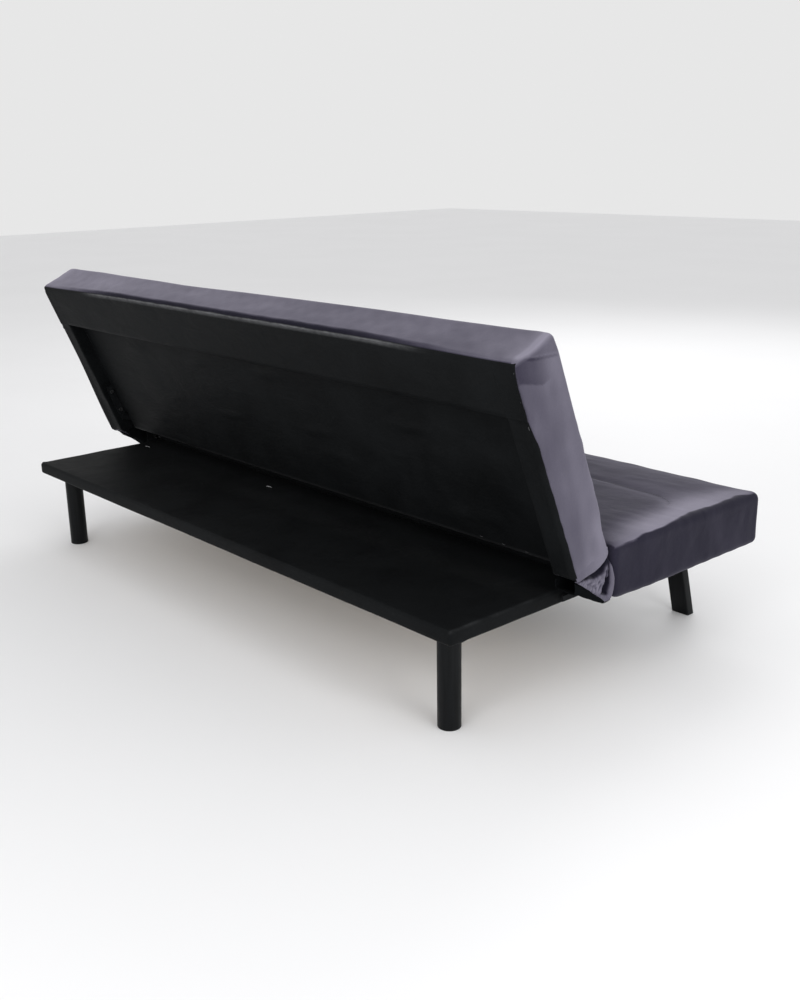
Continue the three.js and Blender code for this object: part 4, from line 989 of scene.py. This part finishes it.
def makeSeatRearCloth():  # closes the seat's rear above the base
    xs = spaced([-seatRearCloth["reachX"], seatRearCloth["reachX"]], 13)
    zs = spaced([seatRearCloth["low"], seatRearCloth["high"]], 7)
    x, z = gridSpots(xs, zs)
    slack = waves(asPlaces(x, 0, z) * (1, 1, 2), 150, 91)
    y = seatRearCloth["y"] + 0.7 * np.clip(slack, -0.8, 1.5)
    piece = laySheet("seatRearCloth", asPlaces(x, y, z), (len(xs), len(zs)), "non_woven",
                     seatRearCloth["thickness"], fray=0 * x)
    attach(piece, "frame")


makeBaseWrap()
makeSeatLining()
makeBackLining()
makeSeatRearCloth()
makePocketCloth(-1, "Left")
makePocketCloth(1, "Right")
print("black cloth stretched")

# ---- velvet that crosses the hinge line

endFold = {  # outlines on the end's plane, as y and z
    "x": 899.4, "deep": 17, "columns": 118, "rows": 92, "thickness": 1.4, "soften": 4,
    "top": ((60, 310), (76, 318), (88, 326), (104, 328), (186.2, 296.2)),
    "rim": ((214, 217, 219, 225, 237, 254, 273, 287, 294, 306),
            (77, 74, 71.5, 67.5, 64.1, 63.9, 67.9, 72.2, 75, 76)),
    "bottom": ((60, 211), (72, 212), (90, 212), (99, 220), (114, 231), (126, 240), (138, 249), (155, 260),
               (174.5, 272.6)),
    "skirt": ((88, 330), (85.3, 313.5), (88.8, 303.6), (97.7, 296.7), (110.5, 289.3), (124.8, 284.2),
              (139.3, 281.8), (155.9, 278.2), (177, 274), (192, 278), (192, 300)),
    "flap": ((76, 296), (80, 292), (89, 284), (93, 275), (109, 271), (123, 269), (136, 272.5), (149, 272.5),
             (164, 274), (182, 272), (155, 258), (138, 247), (125, 238), (113, 230), (103, 229), (100, 238),
             (96, 244.8), (92.3, 252), (88.5, 264), (87.5, 274), (79, 288)),
    "tube": ((76, 296), (71.5, 286), (66, 272), (61, 254), (61, 237), (65, 224), (70, 211), (83, 211),
             (79, 232), (73.5, 246), (74, 261), (75.3, 275), (76.5, 287)),
    "inner": ((78, 288), (77.5, 276), (77.5, 264), (82, 258), (86, 262), (87, 272), (84, 281)),
    "band": ((66, 210), (92, 210), (101, 218), (116, 230), (112, 236), (97, 229), (85, 225), (70, 226)),
    "gathered": ((100, 200), (200, 260), (200, 300), (112, 262), (96, 230)),
    "layers": {"skirt": (-3.2, 3.0, 0.2), "flap": (-2.2, 2.4, 2.4), "tube": (-3.0, 3.0, 0.6),
               "inner": (-2.0, 2.0, 4.5), "band": (-2.5, 2.5, 2.4)},  # soft edge, and how far back it lies
}
hingeCloth = {
    "rows": 22, "columns": 44, "inward": 848.2, "thickness": 0.8, "inset": 5.5,
    "edge": ((72, 217), (90, 217), (99, 223), (114, 234), (126, 243), (138, 252), (155, 262.5), (181, 273)),
    "bellyLeft": ((72, 209), (84, 207.4), (93, 207.6), (106, 213.8), (125.6, 223.9), (144.7, 233),
                  (160.8, 243.8), (182, 250)),
    "bellyRight": ((74, 211), (86, 211), (94, 214.5), (104, 221), (113, 229.5), (122, 238), (143, 249.5),
                   (166, 262)),
    "head": ((70, 312), (100, 303.2), (130, 291), (165, 276.8), (183, 270.5)),
}


def alongCurve(points, share):
    points = np.array(points, float)
    reach = np.concatenate([[0], np.cumsum(np.linalg.norm(np.diff(points, axis=0), axis=1))])
    return np.stack([np.interp(share * reach[-1], reach, points[:, i]) for i in range(points.shape[1])], -1)


def insideBy(spots, outline):  # distance inside an outline, negative outside
    outline = np.array(outline, float)
    nearest = np.full(len(spots), np.inf)
    within = np.zeros(len(spots), bool)
    for a, b in zip(outline, np.roll(outline, -1, axis=0)):
        run = b - a
        share = np.clip(((spots - a) @ run) / (run @ run), 0, 1)
        nearest = np.minimum(nearest, np.linalg.norm(spots - a - share[:, None] * run, axis=1))
        crossing = (a[1] > spots[:, 1]) != (b[1] > spots[:, 1])
        with np.errstate(divide="ignore", invalid="ignore"):
            at = a[0] + (spots[:, 1] - a[1]) * run[0] / run[1]
        within ^= crossing & (spots[:, 0] < at)
    return np.where(within, nearest, -nearest)


def makeEndFold(side, end):
    counts, deep = (endFold["columns"], endFold["rows"]), endFold["deep"]
    across, down = gridSpots(*(np.linspace(0, 1, count) for count in counts))
    top, bottom = alongCurve(endFold["top"], across), alongCurve(endFold["bottom"], across)
    yz = top * (1 - down)[:, None] + bottom * down[:, None]
    flat = np.column_stack([yz, 0 * across])
    inside = {layer: insideBy(yz, endFold[layer]) for layer in endFold["layers"]}
    skirt, flap = inside["skirt"], inside["flap"]
    gathers = ease(24, 2, -insideBy(yz, endFold["gathered"]))
    ripple = np.sin((yz[:, 0] * 0.80 + yz[:, 1] * 0.6) / 1.7 + 2.6 * waves(flat, 26, 83)) * gathers
    ripple *= 0.6 + 0.8 * waves(flat, 17, 84)
    pleated = 0.8 * ripple + 0.7 * waves(flat, 15, 85) - 1.9 * ease(2, 13, flap)
    stands = [ease(low, high, inside[layer]) * (deep - back + pleated * (layer == "flap"))
              for layer, (low, high, back) in endFold["layers"].items()]
    out = np.maximum.reduce(stands) + 0.45 * waves(flat, 20, 81)
    for _ in range(endFold["soften"]):
        grid = np.pad(out.reshape(counts), 1, mode="edge")
        beside = grid[:-2, 1:-1] + grid[2:, 1:-1] + grid[1:-1, :-2] + grid[1:-1, 2:]
        out = (grid[1:-1, 1:-1] * 2 + beside).ravel() / 6
    inset = np.clip(deep - out, 0, deep)
    rim = np.interp(yz[:, 1], *endFold["rim"])
    inset = np.maximum(inset, 15 * ease(rim + 0.5, rim - 4.5, yz[:, 0]))  # tucked in behind the seat
    rear, high = (yz - backFoot).T
    up = rear * math.sin(lean) + high * math.cos(lean)
    forward = high * math.sin(lean) - rear * math.cos(lean)
    inset = np.maximum(inset, 4.0 * ease(11, 20, up))  # its top runs in under the backrest's end
    rounded = quarter(13, np.clip(13 - forward, 0, 12.9))  # and its rear edge in under the black cloth
    inset = np.maximum(inset, rounded - 0.4)
    # painted light and shade on the fold: the flap painted lighter, painted shade where the cloth lies deep
    # and in the gathers' troughs; the skirt painted like the backrest's ends, lighter near its edge
    tone = 0.62 + 0.16 * ease(0, 12, flap) - 0.66 * ease(2.6, 7.5, inset) - 0.12 * gathers * (ripple < 0)
    tone = np.where(skirt > 0.5, sideTone(up, forward) + 0.10 * ease(4, 0.5, skirt), tone)
    piece = laySheet(f"endFold{end}", np.column_stack([side * (endFold["x"] - inset), yz]), counts, "velvet",
                     endFold["thickness"], side < 0, nap=tone)
    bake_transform(piece)
    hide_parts("end_pleat_left" if side < 0 else "end_pleat_right")


def makeHingeCloth(side, end):  # black cloth that bellies down under the pleat and hides the hinge
    counts = hingeCloth["columns"], hingeCloth["rows"]
    across, down = gridSpots(*(np.linspace(0, 1, count) for count in counts))
    share = across * (0.88 if side > 0 else 1)
    edge, belly, head = (alongCurve(hingeCloth[k], share) for k in ("edge", "belly" + end, "head"))
    turn, under, wall = (np.clip((down - a) / b, 0, 1) for a, b in ((0, 0.25), (0.25, 0.25), (0.5, 0.5)))
    yz = edge * (1 - turn)[:, None] + belly * turn[:, None]
    yz = yz * (1 - wall)[:, None] + head * wall[:, None]
    flat = np.column_stack([yz, 40 * down])
    inset = hingeCloth["inset"] - 2.5 * np.sin(math.pi * turn)
    inset += under * (endFold["x"] - hingeCloth["inward"] - hingeCloth["inset"])
    yz[:, 1] += 4 * under * (1 - wall) + 0.7 * waves(flat, 35, 87) * np.sin(math.pi * down)
    inset -= 1.2 * np.clip(waves(flat, 28, 88), 0, 1.5) * np.sin(math.pi * wall)
    piece = laySheet(f"hingeCloth{end}", np.column_stack([side * (endFold["x"] - inset), yz]), counts,
                     "dullCloth", hingeCloth["thickness"], side < 0, fray=0 * inset)
    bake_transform(piece)


creaseStrip = {"reachX": 824.8, "y": 69.5, "wide": 27, "z": 306, "hang": 13, "thickness": 1.6, "nap": 0.2}


def makeCreaseStrip():
    xs, share = spaced([-creaseStrip["reachX"], creaseStrip["reachX"]], 12), np.linspace(0, 1, 9)
    x, t = gridSpots(xs, share)
    slack = waves(asPlaces(x, 40 * t, 0), 70, 51)
    z = creaseStrip["z"] - 1.0 * t - creaseStrip["hang"] * np.sin(math.pi * t) + 0.8 * slack
    place = asPlaces(x, creaseStrip["y"] + creaseStrip["wide"] * t, z)
    # the strip's velvet is painted dark: painted shade in the crease between seat and backrest
    piece = laySheet("creaseStrip", place, (len(xs), len(share)), "velvet", creaseStrip["thickness"],
                     nap=np.full(len(x), creaseStrip["nap"]))
    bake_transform(piece)
    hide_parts("crease_strip")


bothEnds = ((-1, "Left"), (1, "Right"))
for side, end in bothEnds:
    makeEndFold(side, end)
    makeHingeCloth(side, end)
makeCreaseStrip()
print("folds sewn in")

# ---- legs

rearLeg = {"radius": 23.7, "top": 210.2, "footRound": 2.0, "x": 766.9, "y": 391, "hole": 4.3,
           "holeLow": 168.2, "sides": 72}
frontLeg = {"width": 46.5, "thickness": 24, "corner": 3, "footX": 744.75, "y": -412, "top": 212.9,
            "splay": 12.3, "hole": 4.3, "holeLow": 170.6, "cornerSteps": 6}


def loopSolid(name, loops, slot):
    loops = np.asarray(loops, float)
    count, size = loops.shape[:2]
    around = [(k, (k + 1) % size) for k in range(size)]
    quads = [(i * size + k, i * size + n, (i + 1) * size + n, (i + 1) * size + k)
             for i in range(count - 1) for k, n in around]
    ends = [tuple(range(size))[::-1], tuple((count - 1) * size + k for k in range(size))]
    return makePiece(name, loops.reshape(-1, 3), quads + ends, slot)


def circled(x, y, radius, z, angles):
    return [(x + radius * math.cos(a), y + radius * math.sin(a), z) for a in angles]


def makeRearLeg(side, end):
    r, top, foot, hole = (rearLeg[k] for k in ("radius", "top", "footRound", "hole"))
    turn = np.linspace(0, math.pi / 2, 5)
    profile = [(r - foot - 2, 0)]
    profile += [(r - foot + foot * math.sin(a), foot - foot * math.cos(a)) for a in turn]
    profile += [(r, top - 1), (r - 0.3, top - 0.3), (r - 1, top), (hole, top), (hole, rearLeg["holeLow"])]
    around = np.linspace(0, 2 * math.pi, rearLeg["sides"], endpoint=False)
    loops = [circled(side * rearLeg["x"], rearLeg["y"], radius, z, around) for radius, z in profile]
    piece = loopSolid(f"rearLeg{end}", loops, "black_paint")
    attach(piece, "frame")
    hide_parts("rear_leg_left" if side < 0 else "rear_leg_right")


def barSection(width, thickness, corner):
    spots = []
    steps = frontLeg["cornerSteps"]
    for cx, cy, start in ((1, 1, 0), (-1, 1, 90), (-1, -1, 180), (1, -1, 270)):
        angles = [math.radians(start + 90 * i / steps) for i in range(steps + 1)]
        spots += circled(cx * (width / 2 - corner), cy * (thickness / 2 - corner), corner, 0, angles)
    return np.array(spots)


def makeFrontLeg(side, end):
    w, t, c, top = (frontLeg[k] for k in ("width", "thickness", "corner", "top"))
    splay = math.tan(math.radians(frontLeg["splay"]))
    loops = []
    for inset, z in ((1.2, 0), (0.5, 0.3), (0, 1.2), (0, top - 1.2), (0.5, top - 0.3), (1.2, top)):
        section = barSection(w - 2 * inset, t - 2 * inset, c - min(inset, 1.2) * 0.8)
        loops.append(section + (side * (frontLeg["footX"] - splay * z), frontLeg["y"], z))
    boltX = side * (frontLeg["footX"] - splay * top)
    angles = [math.atan2(py / t, px / w) for px, py, _ in barSection(w, t, c)]
    loops += [circled(boltX, frontLeg["y"], frontLeg["hole"], z, angles) for z in (top, frontLeg["holeLow"])]
    piece = loopSolid(f"frontLeg{end}", loops, "black_paint")
    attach(piece, "frame")
    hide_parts("front_leg_left" if side < 0 else "front_leg_right")


for side, end in bothEnds:
    makeRearLeg(side, end)
    makeFrontLeg(side, end)
print("legs turned")

# ---- springs that hold the pawls, wound in wire

pawlSpring = {"x": 830.55, "z": 243.95, "from": 19.0, "to": 79.0, "curls": 15, "coil": 3.1, "wire": 0.7,
              "hook": 2.6, "lead": 6.5, "round": 8, "turnSteps": 16}


def tubeAlong(path, radius, sides):  # rings of points carried along a path without twist
    ahead = np.gradient(path, axis=0)
    ahead /= np.linalg.norm(ahead, axis=1)[:, None]
    normal = np.cross(ahead[0], (0.3, 0.2, 0.9))
    angles = np.linspace(0, 2 * math.pi, sides, endpoint=False)
    rings = []
    for spot, way in zip(path, ahead):
        normal = normal - way * (normal @ way)
        normal /= np.linalg.norm(normal)
        aside = np.cross(way, normal)
        rings.append([spot + radius * (math.cos(a) * normal + math.sin(a) * aside) for a in angles])
    return rings


def makePawlSpring(side, end):
    low, high, coil, hook, lead = (pawlSpring[k] for k in ("from", "to", "coil", "hook", "lead"))
    first, last = low + hook + lead, high - hook - lead
    count = pawlSpring["curls"] * pawlSpring["turnSteps"]
    bends = np.radians(np.linspace(-60, 180, 13))
    path = [(0, low - hook * math.cos(a), -hook * math.sin(a)) for a in bends]  # round the seat arm's stud
    for i in range(count + 1):
        a = 2 * math.pi * i / pawlSpring["turnSteps"]
        path.append((coil * math.sin(a), first + (last - first) * i / count, coil * math.cos(a)))
    path += [(0, high + hook * math.cos(a), hook * math.sin(a)) for a in bends[::-1]]  # and the pawl's
    path = np.array(path) * (side, 1, 1) + (side * pawlSpring["x"], 0, pawlSpring["z"])
    rings = tubeAlong(path, pawlSpring["wire"], pawlSpring["round"])
    piece = loopSolid(f"pawlSpring{end}", rings, "zinc_steel")
    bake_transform(piece)
    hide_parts("pawl_spring_" + end.lower())


for side, end in bothEnds:
    makePawlSpring(side, end)
print("springs wound")

# ---- staples and stitches, set out along paths by Geometry Nodes

stapleSize = {"Spacing": 0.046, "Length": 0.009, "Width": 0.0010, "Height": 0.003, "Turn": 0.16, "Seed": 5}
stitchSize = {"Spacing": 0.0066, "Length": 0.0052, "Width": 0.0011, "Height": 0.0009, "Turn": 0.05,
              "Seed": 8}


def geometry(tree, kind, inputs=None, **settings):
    return addNode(tree, "GeometryNode" + kind, inputs, **settings).outputs[0]


def rotation(tree, kind, inputs, **settings):
    return addNode(tree, "FunctionNode" + kind, inputs, **settings).outputs[0]


def stapleShape(tree, size):  # a flat wire ring whose lower half is in the cloth
    outline = {"Width": size["Length"], "Height": size["Height"]}
    ring = geometry(tree, "CurvePrimitiveQuadrilateral", outline)
    turned = geometry(tree, "FilletCurve", {"Curve": ring, "Radius": 0.0008, "Count": 2}, mode="POLY")
    stood = {"Geometry": turned, "Rotation": (math.pi / 2, 0, 0), "Translation": (0, 0, -0.0009)}
    wire = geometry(tree, "CurvePrimitiveQuadrilateral", {"Width": 0.0006, "Height": size["Width"]})
    ends = {"Curve": geometry(tree, "Transform", stood), "Profile Curve": wire}
    return geometry(tree, "CurveToMesh", ends)


def stitchShape(tree, size):  # a spindle of thread
    ball = geometry(tree, "MeshUVSphere", {"Segments": 6, "Rings": 5, "Radius": 0.5})
    spindle = {"X": size["Length"], "Y": size["Width"], "Z": size["Height"]}
    scale = addNode(tree, "ShaderNodeCombineXYZ", spindle).outputs[0]
    return geometry(tree, "Transform", {"Geometry": ball, "Scale": scale})


def pathTree(name, sizes, makeShape, finish):
    tree = bpy.data.node_groups.new(name, "GeometryNodeTree")
    tree.interface.new_socket(name="Path", in_out="INPUT", socket_type="NodeSocketGeometry")
    for label, value in sizes.items():
        kind = "NodeSocketInt" if label == "Seed" else "NodeSocketFloat"
        tree.interface.new_socket(name=label, in_out="INPUT", socket_type=kind).default_value = value
    tree.interface.new_socket(name="Result", in_out="OUTPUT", socket_type="NodeSocketGeometry")
    given = tree.nodes.new("NodeGroupInput").outputs
    curve = geometry(tree, "MeshToCurve", {"Mesh": given["Path"]})
    spots = geometry(tree, "ResampleCurve", {"Curve": curve, "Length": given["Spacing"]}, mode="LENGTH")
    rise = geometry(tree, "InputNamedAttribute", {"Name": "rise"}, data_type="FLOAT_VECTOR")
    along = rotation(tree, "AlignRotationToVector", {"Vector": geometry(tree, "InputTangent")}, axis="X")
    both = {"Rotation": along, "Vector": rise}
    stood = rotation(tree, "AlignRotationToVector", both, axis="Z", pivot_axis="X")
    chance = addNode(tree, "FunctionNodeRandomValue", {"Seed": given["Seed"]}, data_type="FLOAT")
    tree.links.new(addMaths(tree, "MULTIPLY", given["Turn"], -1.0), chance.inputs[2])
    tree.links.new(given["Turn"], chance.inputs[3])
    angle = rotation(tree, "AxisAngleToRotation", {"Axis": (0, 0, 1), "Angle": chance.outputs[1]})
    both = {"Rotation": stood, "Rotate By": angle}
    turned = rotation(tree, "RotateRotation", both, rotation_space="LOCAL")
    instances = {"Points": spots, "Instance": makeShape(tree, given), "Rotation": turned}
    solid = geometry(tree, "RealizeInstances", {"Geometry": geometry(tree, "InstanceOnPoints", instances)})
    last = geometry(tree, "SetMaterial", {"Geometry": solid, "Material": finish})
    tree.links.new(last, tree.nodes.new("NodeGroupOutput").inputs[0])
    return tree


stapleTree = pathTree("stapleRow", stapleSize, stapleShape, finishes["stapleWire"])
paintedGlintStapleTree = pathTree("paintedGlintStapleRow", stapleSize, stapleShape, finishes["paintedGlintWire"])
stitchTree = pathTree("stitchRow", stitchSize, stitchShape, finishes["thread"])


def setOut(name, tree, sizes, paths, body, slot, **changed):  # paths: runs of points, each with its rise
    points = np.concatenate([run for run, _ in paths])
    rises = np.concatenate([np.broadcast_to(rise, np.shape(run)) for run, rise in paths])
    edges, start = [], 0
    for run, _ in paths:
        edges += [(start + i, start + i + 1) for i in range(len(run) - 1)]
        start += len(run)
    mesh = bpy.data.meshes.new(name)
    mesh.from_pydata((points * mm).tolist(), edges, [])
    made = mesh.attributes.new("rise", "FLOAT_VECTOR", "POINT")
    made.data.foreach_set("vector", rises.astype(np.float32).ravel())
    piece = bpy.data.objects.new(name, mesh)
    row = piece.modifiers.new("row", "NODES")
    row.node_group = tree
    for socket in tree.interface.items_tree:
        if socket.in_out == "INPUT" and socket.name in sizes:
            row[socket.identifier] = changed.get(socket.name, sizes[socket.name])
    scene.collection.objects.link(piece)
    settle(piece)
    if slot == "velvet":
        piece.data.shade_smooth()
    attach(piece, body)


def seamSpots(pad):  # the sewn line of a channel, end to end, on the pad's own axes
    hookSteps, steps = channel["steps"]
    hooked = np.sin(np.linspace(0, math.pi / 2, hookSteps)) * channel["hook"]
    bend = channel["hookRise"] * (1 - np.sqrt(1 - (hooked / channel["hook"]) ** 2))
    half = channel["straight"] / 2
    x = np.concatenate([-(half + hooked)[::-1], np.linspace(-half, half, steps)[1:-1], half + hooked])
    rise = np.concatenate([bend[::-1], np.zeros(steps - 2), bend])
    return asPlaces(x, pad["channelAt"] + pad["channelSide"] * rise, pad["half"][2])


def onCloth(piece, points, way):  # each point moved along a direction onto the cloth
    found = []
    for spot in points:
        struck, place, _, _ = piece.ray_cast(Vector((spot - way * 40) * mm), Vector(way))
        if struck:
            found.append(np.array(place) / mm)
    return np.array(found)


bpy.context.view_layer.update()
down, forward = np.array([0, 0, -1.0]), np.array([0, math.cos(lean), -math.sin(lean)])
seatSeam = onCloth(bpy.data.objects["seatCover"], seatToRow(seamSpots(seatPad)), down)
backSeam = onCloth(bpy.data.objects["backCover"], backToRow(seamSpots(backPad)), forward)
setOut("seatStitches", stitchTree, stitchSize, [(seatSeam + (0, 0, 0.1), -down)], "frame", "velvet")
setOut("backStitches", stitchTree, stitchSize, [(backSeam - forward * 0.1, -forward)], "backrest", "velvet")

stapleRows = {
    "recess": ((-748, -705, -661, -622), (8, 9.5, 9, 12), 34.5),  # x, height and depth, near one end
    "backRim": (24, 462), "baseSpots": ((772, 143), (166, 136)), "baseTop": 237.9,
    "underBase": (818, -95, 441, 208.9), "underSeat": (869, -425, 211.0), "seatEnds": (872, -418, -120),
}


def straightRun(a, b):
    return np.linspace(a, b, max(2, int(np.linalg.norm(np.subtract(b, a)) / 20)))


def makeStaples():
    recess = [(onBack(*(np.array(v, float) for v in stapleRows["recess"])), -forward)]
    setOut("recessStaples", stapleTree, stapleSize, recess, "backrest", "zinc_steel", Spacing=0.044,
           Length=0.007)
    reach, paths = rearCloth["round"] + rearCloth["over"], []
    ups = np.linspace(*stapleRows["backRim"], 40)
    turn = np.radians(np.interp(ups, rearCloth["wrapUp"], rearCloth["wrap"]) - 7)
    for side in (-1, 1):
        rise = -forward * np.cos(turn)[:, None] + np.outer(side * np.sin(turn), (1, 0, 0))
        x = side * (rearCloth["reachX"] + reach * np.sin(turn))
        paths.append((onBack(x, ups, rearCloth["round"] - reach * np.cos(turn)), rise))
    setOut("backStaples", stapleTree, stapleSize, paths, "backrest", "zinc_steel", Spacing=0.052,
           Length=0.006, Height=0.0022)
    reachX, lowY, highY, z = stapleRows["underBase"]
    rows = [straightRun((side * reachX, lowY, z), (side * reachX, highY, z)) for side in (-1, 1)]
    rows += [straightRun((-reachX, y, z), (reachX, y, z)) for y in (lowY, highY)]
    reachX, frontY, z = stapleRows["underSeat"]
    rows += [straightRun((-reachX, frontY, z), (reachX, frontY, z))]
    reachX, lowY, highY = stapleRows["seatEnds"]
    rows += [straightRun((side * reachX, lowY, z), (side * reachX, highY, z)) for side in (-1, 1)]
    under = [(row, down) for row in rows]
    setOut("frameStaples", stapleTree, stapleSize, under, "frame", "zinc_steel", Spacing=0.06)
    z = stapleRows["baseTop"]
    # two staples on the base's top in the lighter wire: painted glint
    spots = [(np.array([(x - 4, y, z), (x + 4, y + 1, z)]), -down) for x, y in stapleRows["baseSpots"]]
    setOut("baseStaples", paintedGlintStapleTree, stapleSize, spots, "frame", "zinc_steel", Spacing=0.02,
           Length=0.009)


makeStaples()
print("staples and stitches set")

# ---- finishes on the carried-over parts

steelEdge = {"weld": 0.00002, "width": 0.00025, "segments": 2, "sharper": 40}
slotOf = {part["node"]: part["material_slot"] for part in frame["record"]["subparts"]}
for name, part in cadNodes.items():
    part.data.materials.clear()
    part.data.materials.append(finishes[slotOf[name]])
    if slotOf[name] in ("zinc_steel", "black_steel"):
        part.modifiers.new("weld", "WELD").merge_threshold = steelEdge["weld"]
        edge = part.modifiers.new("edge", "BEVEL")
        edge.width, edge.segments = steelEdge["width"], steelEdge["segments"]
        edge.limit_method, edge.angle_limit = "ANGLE", math.radians(steelEdge["sharper"])
print("carried-over parts finished")
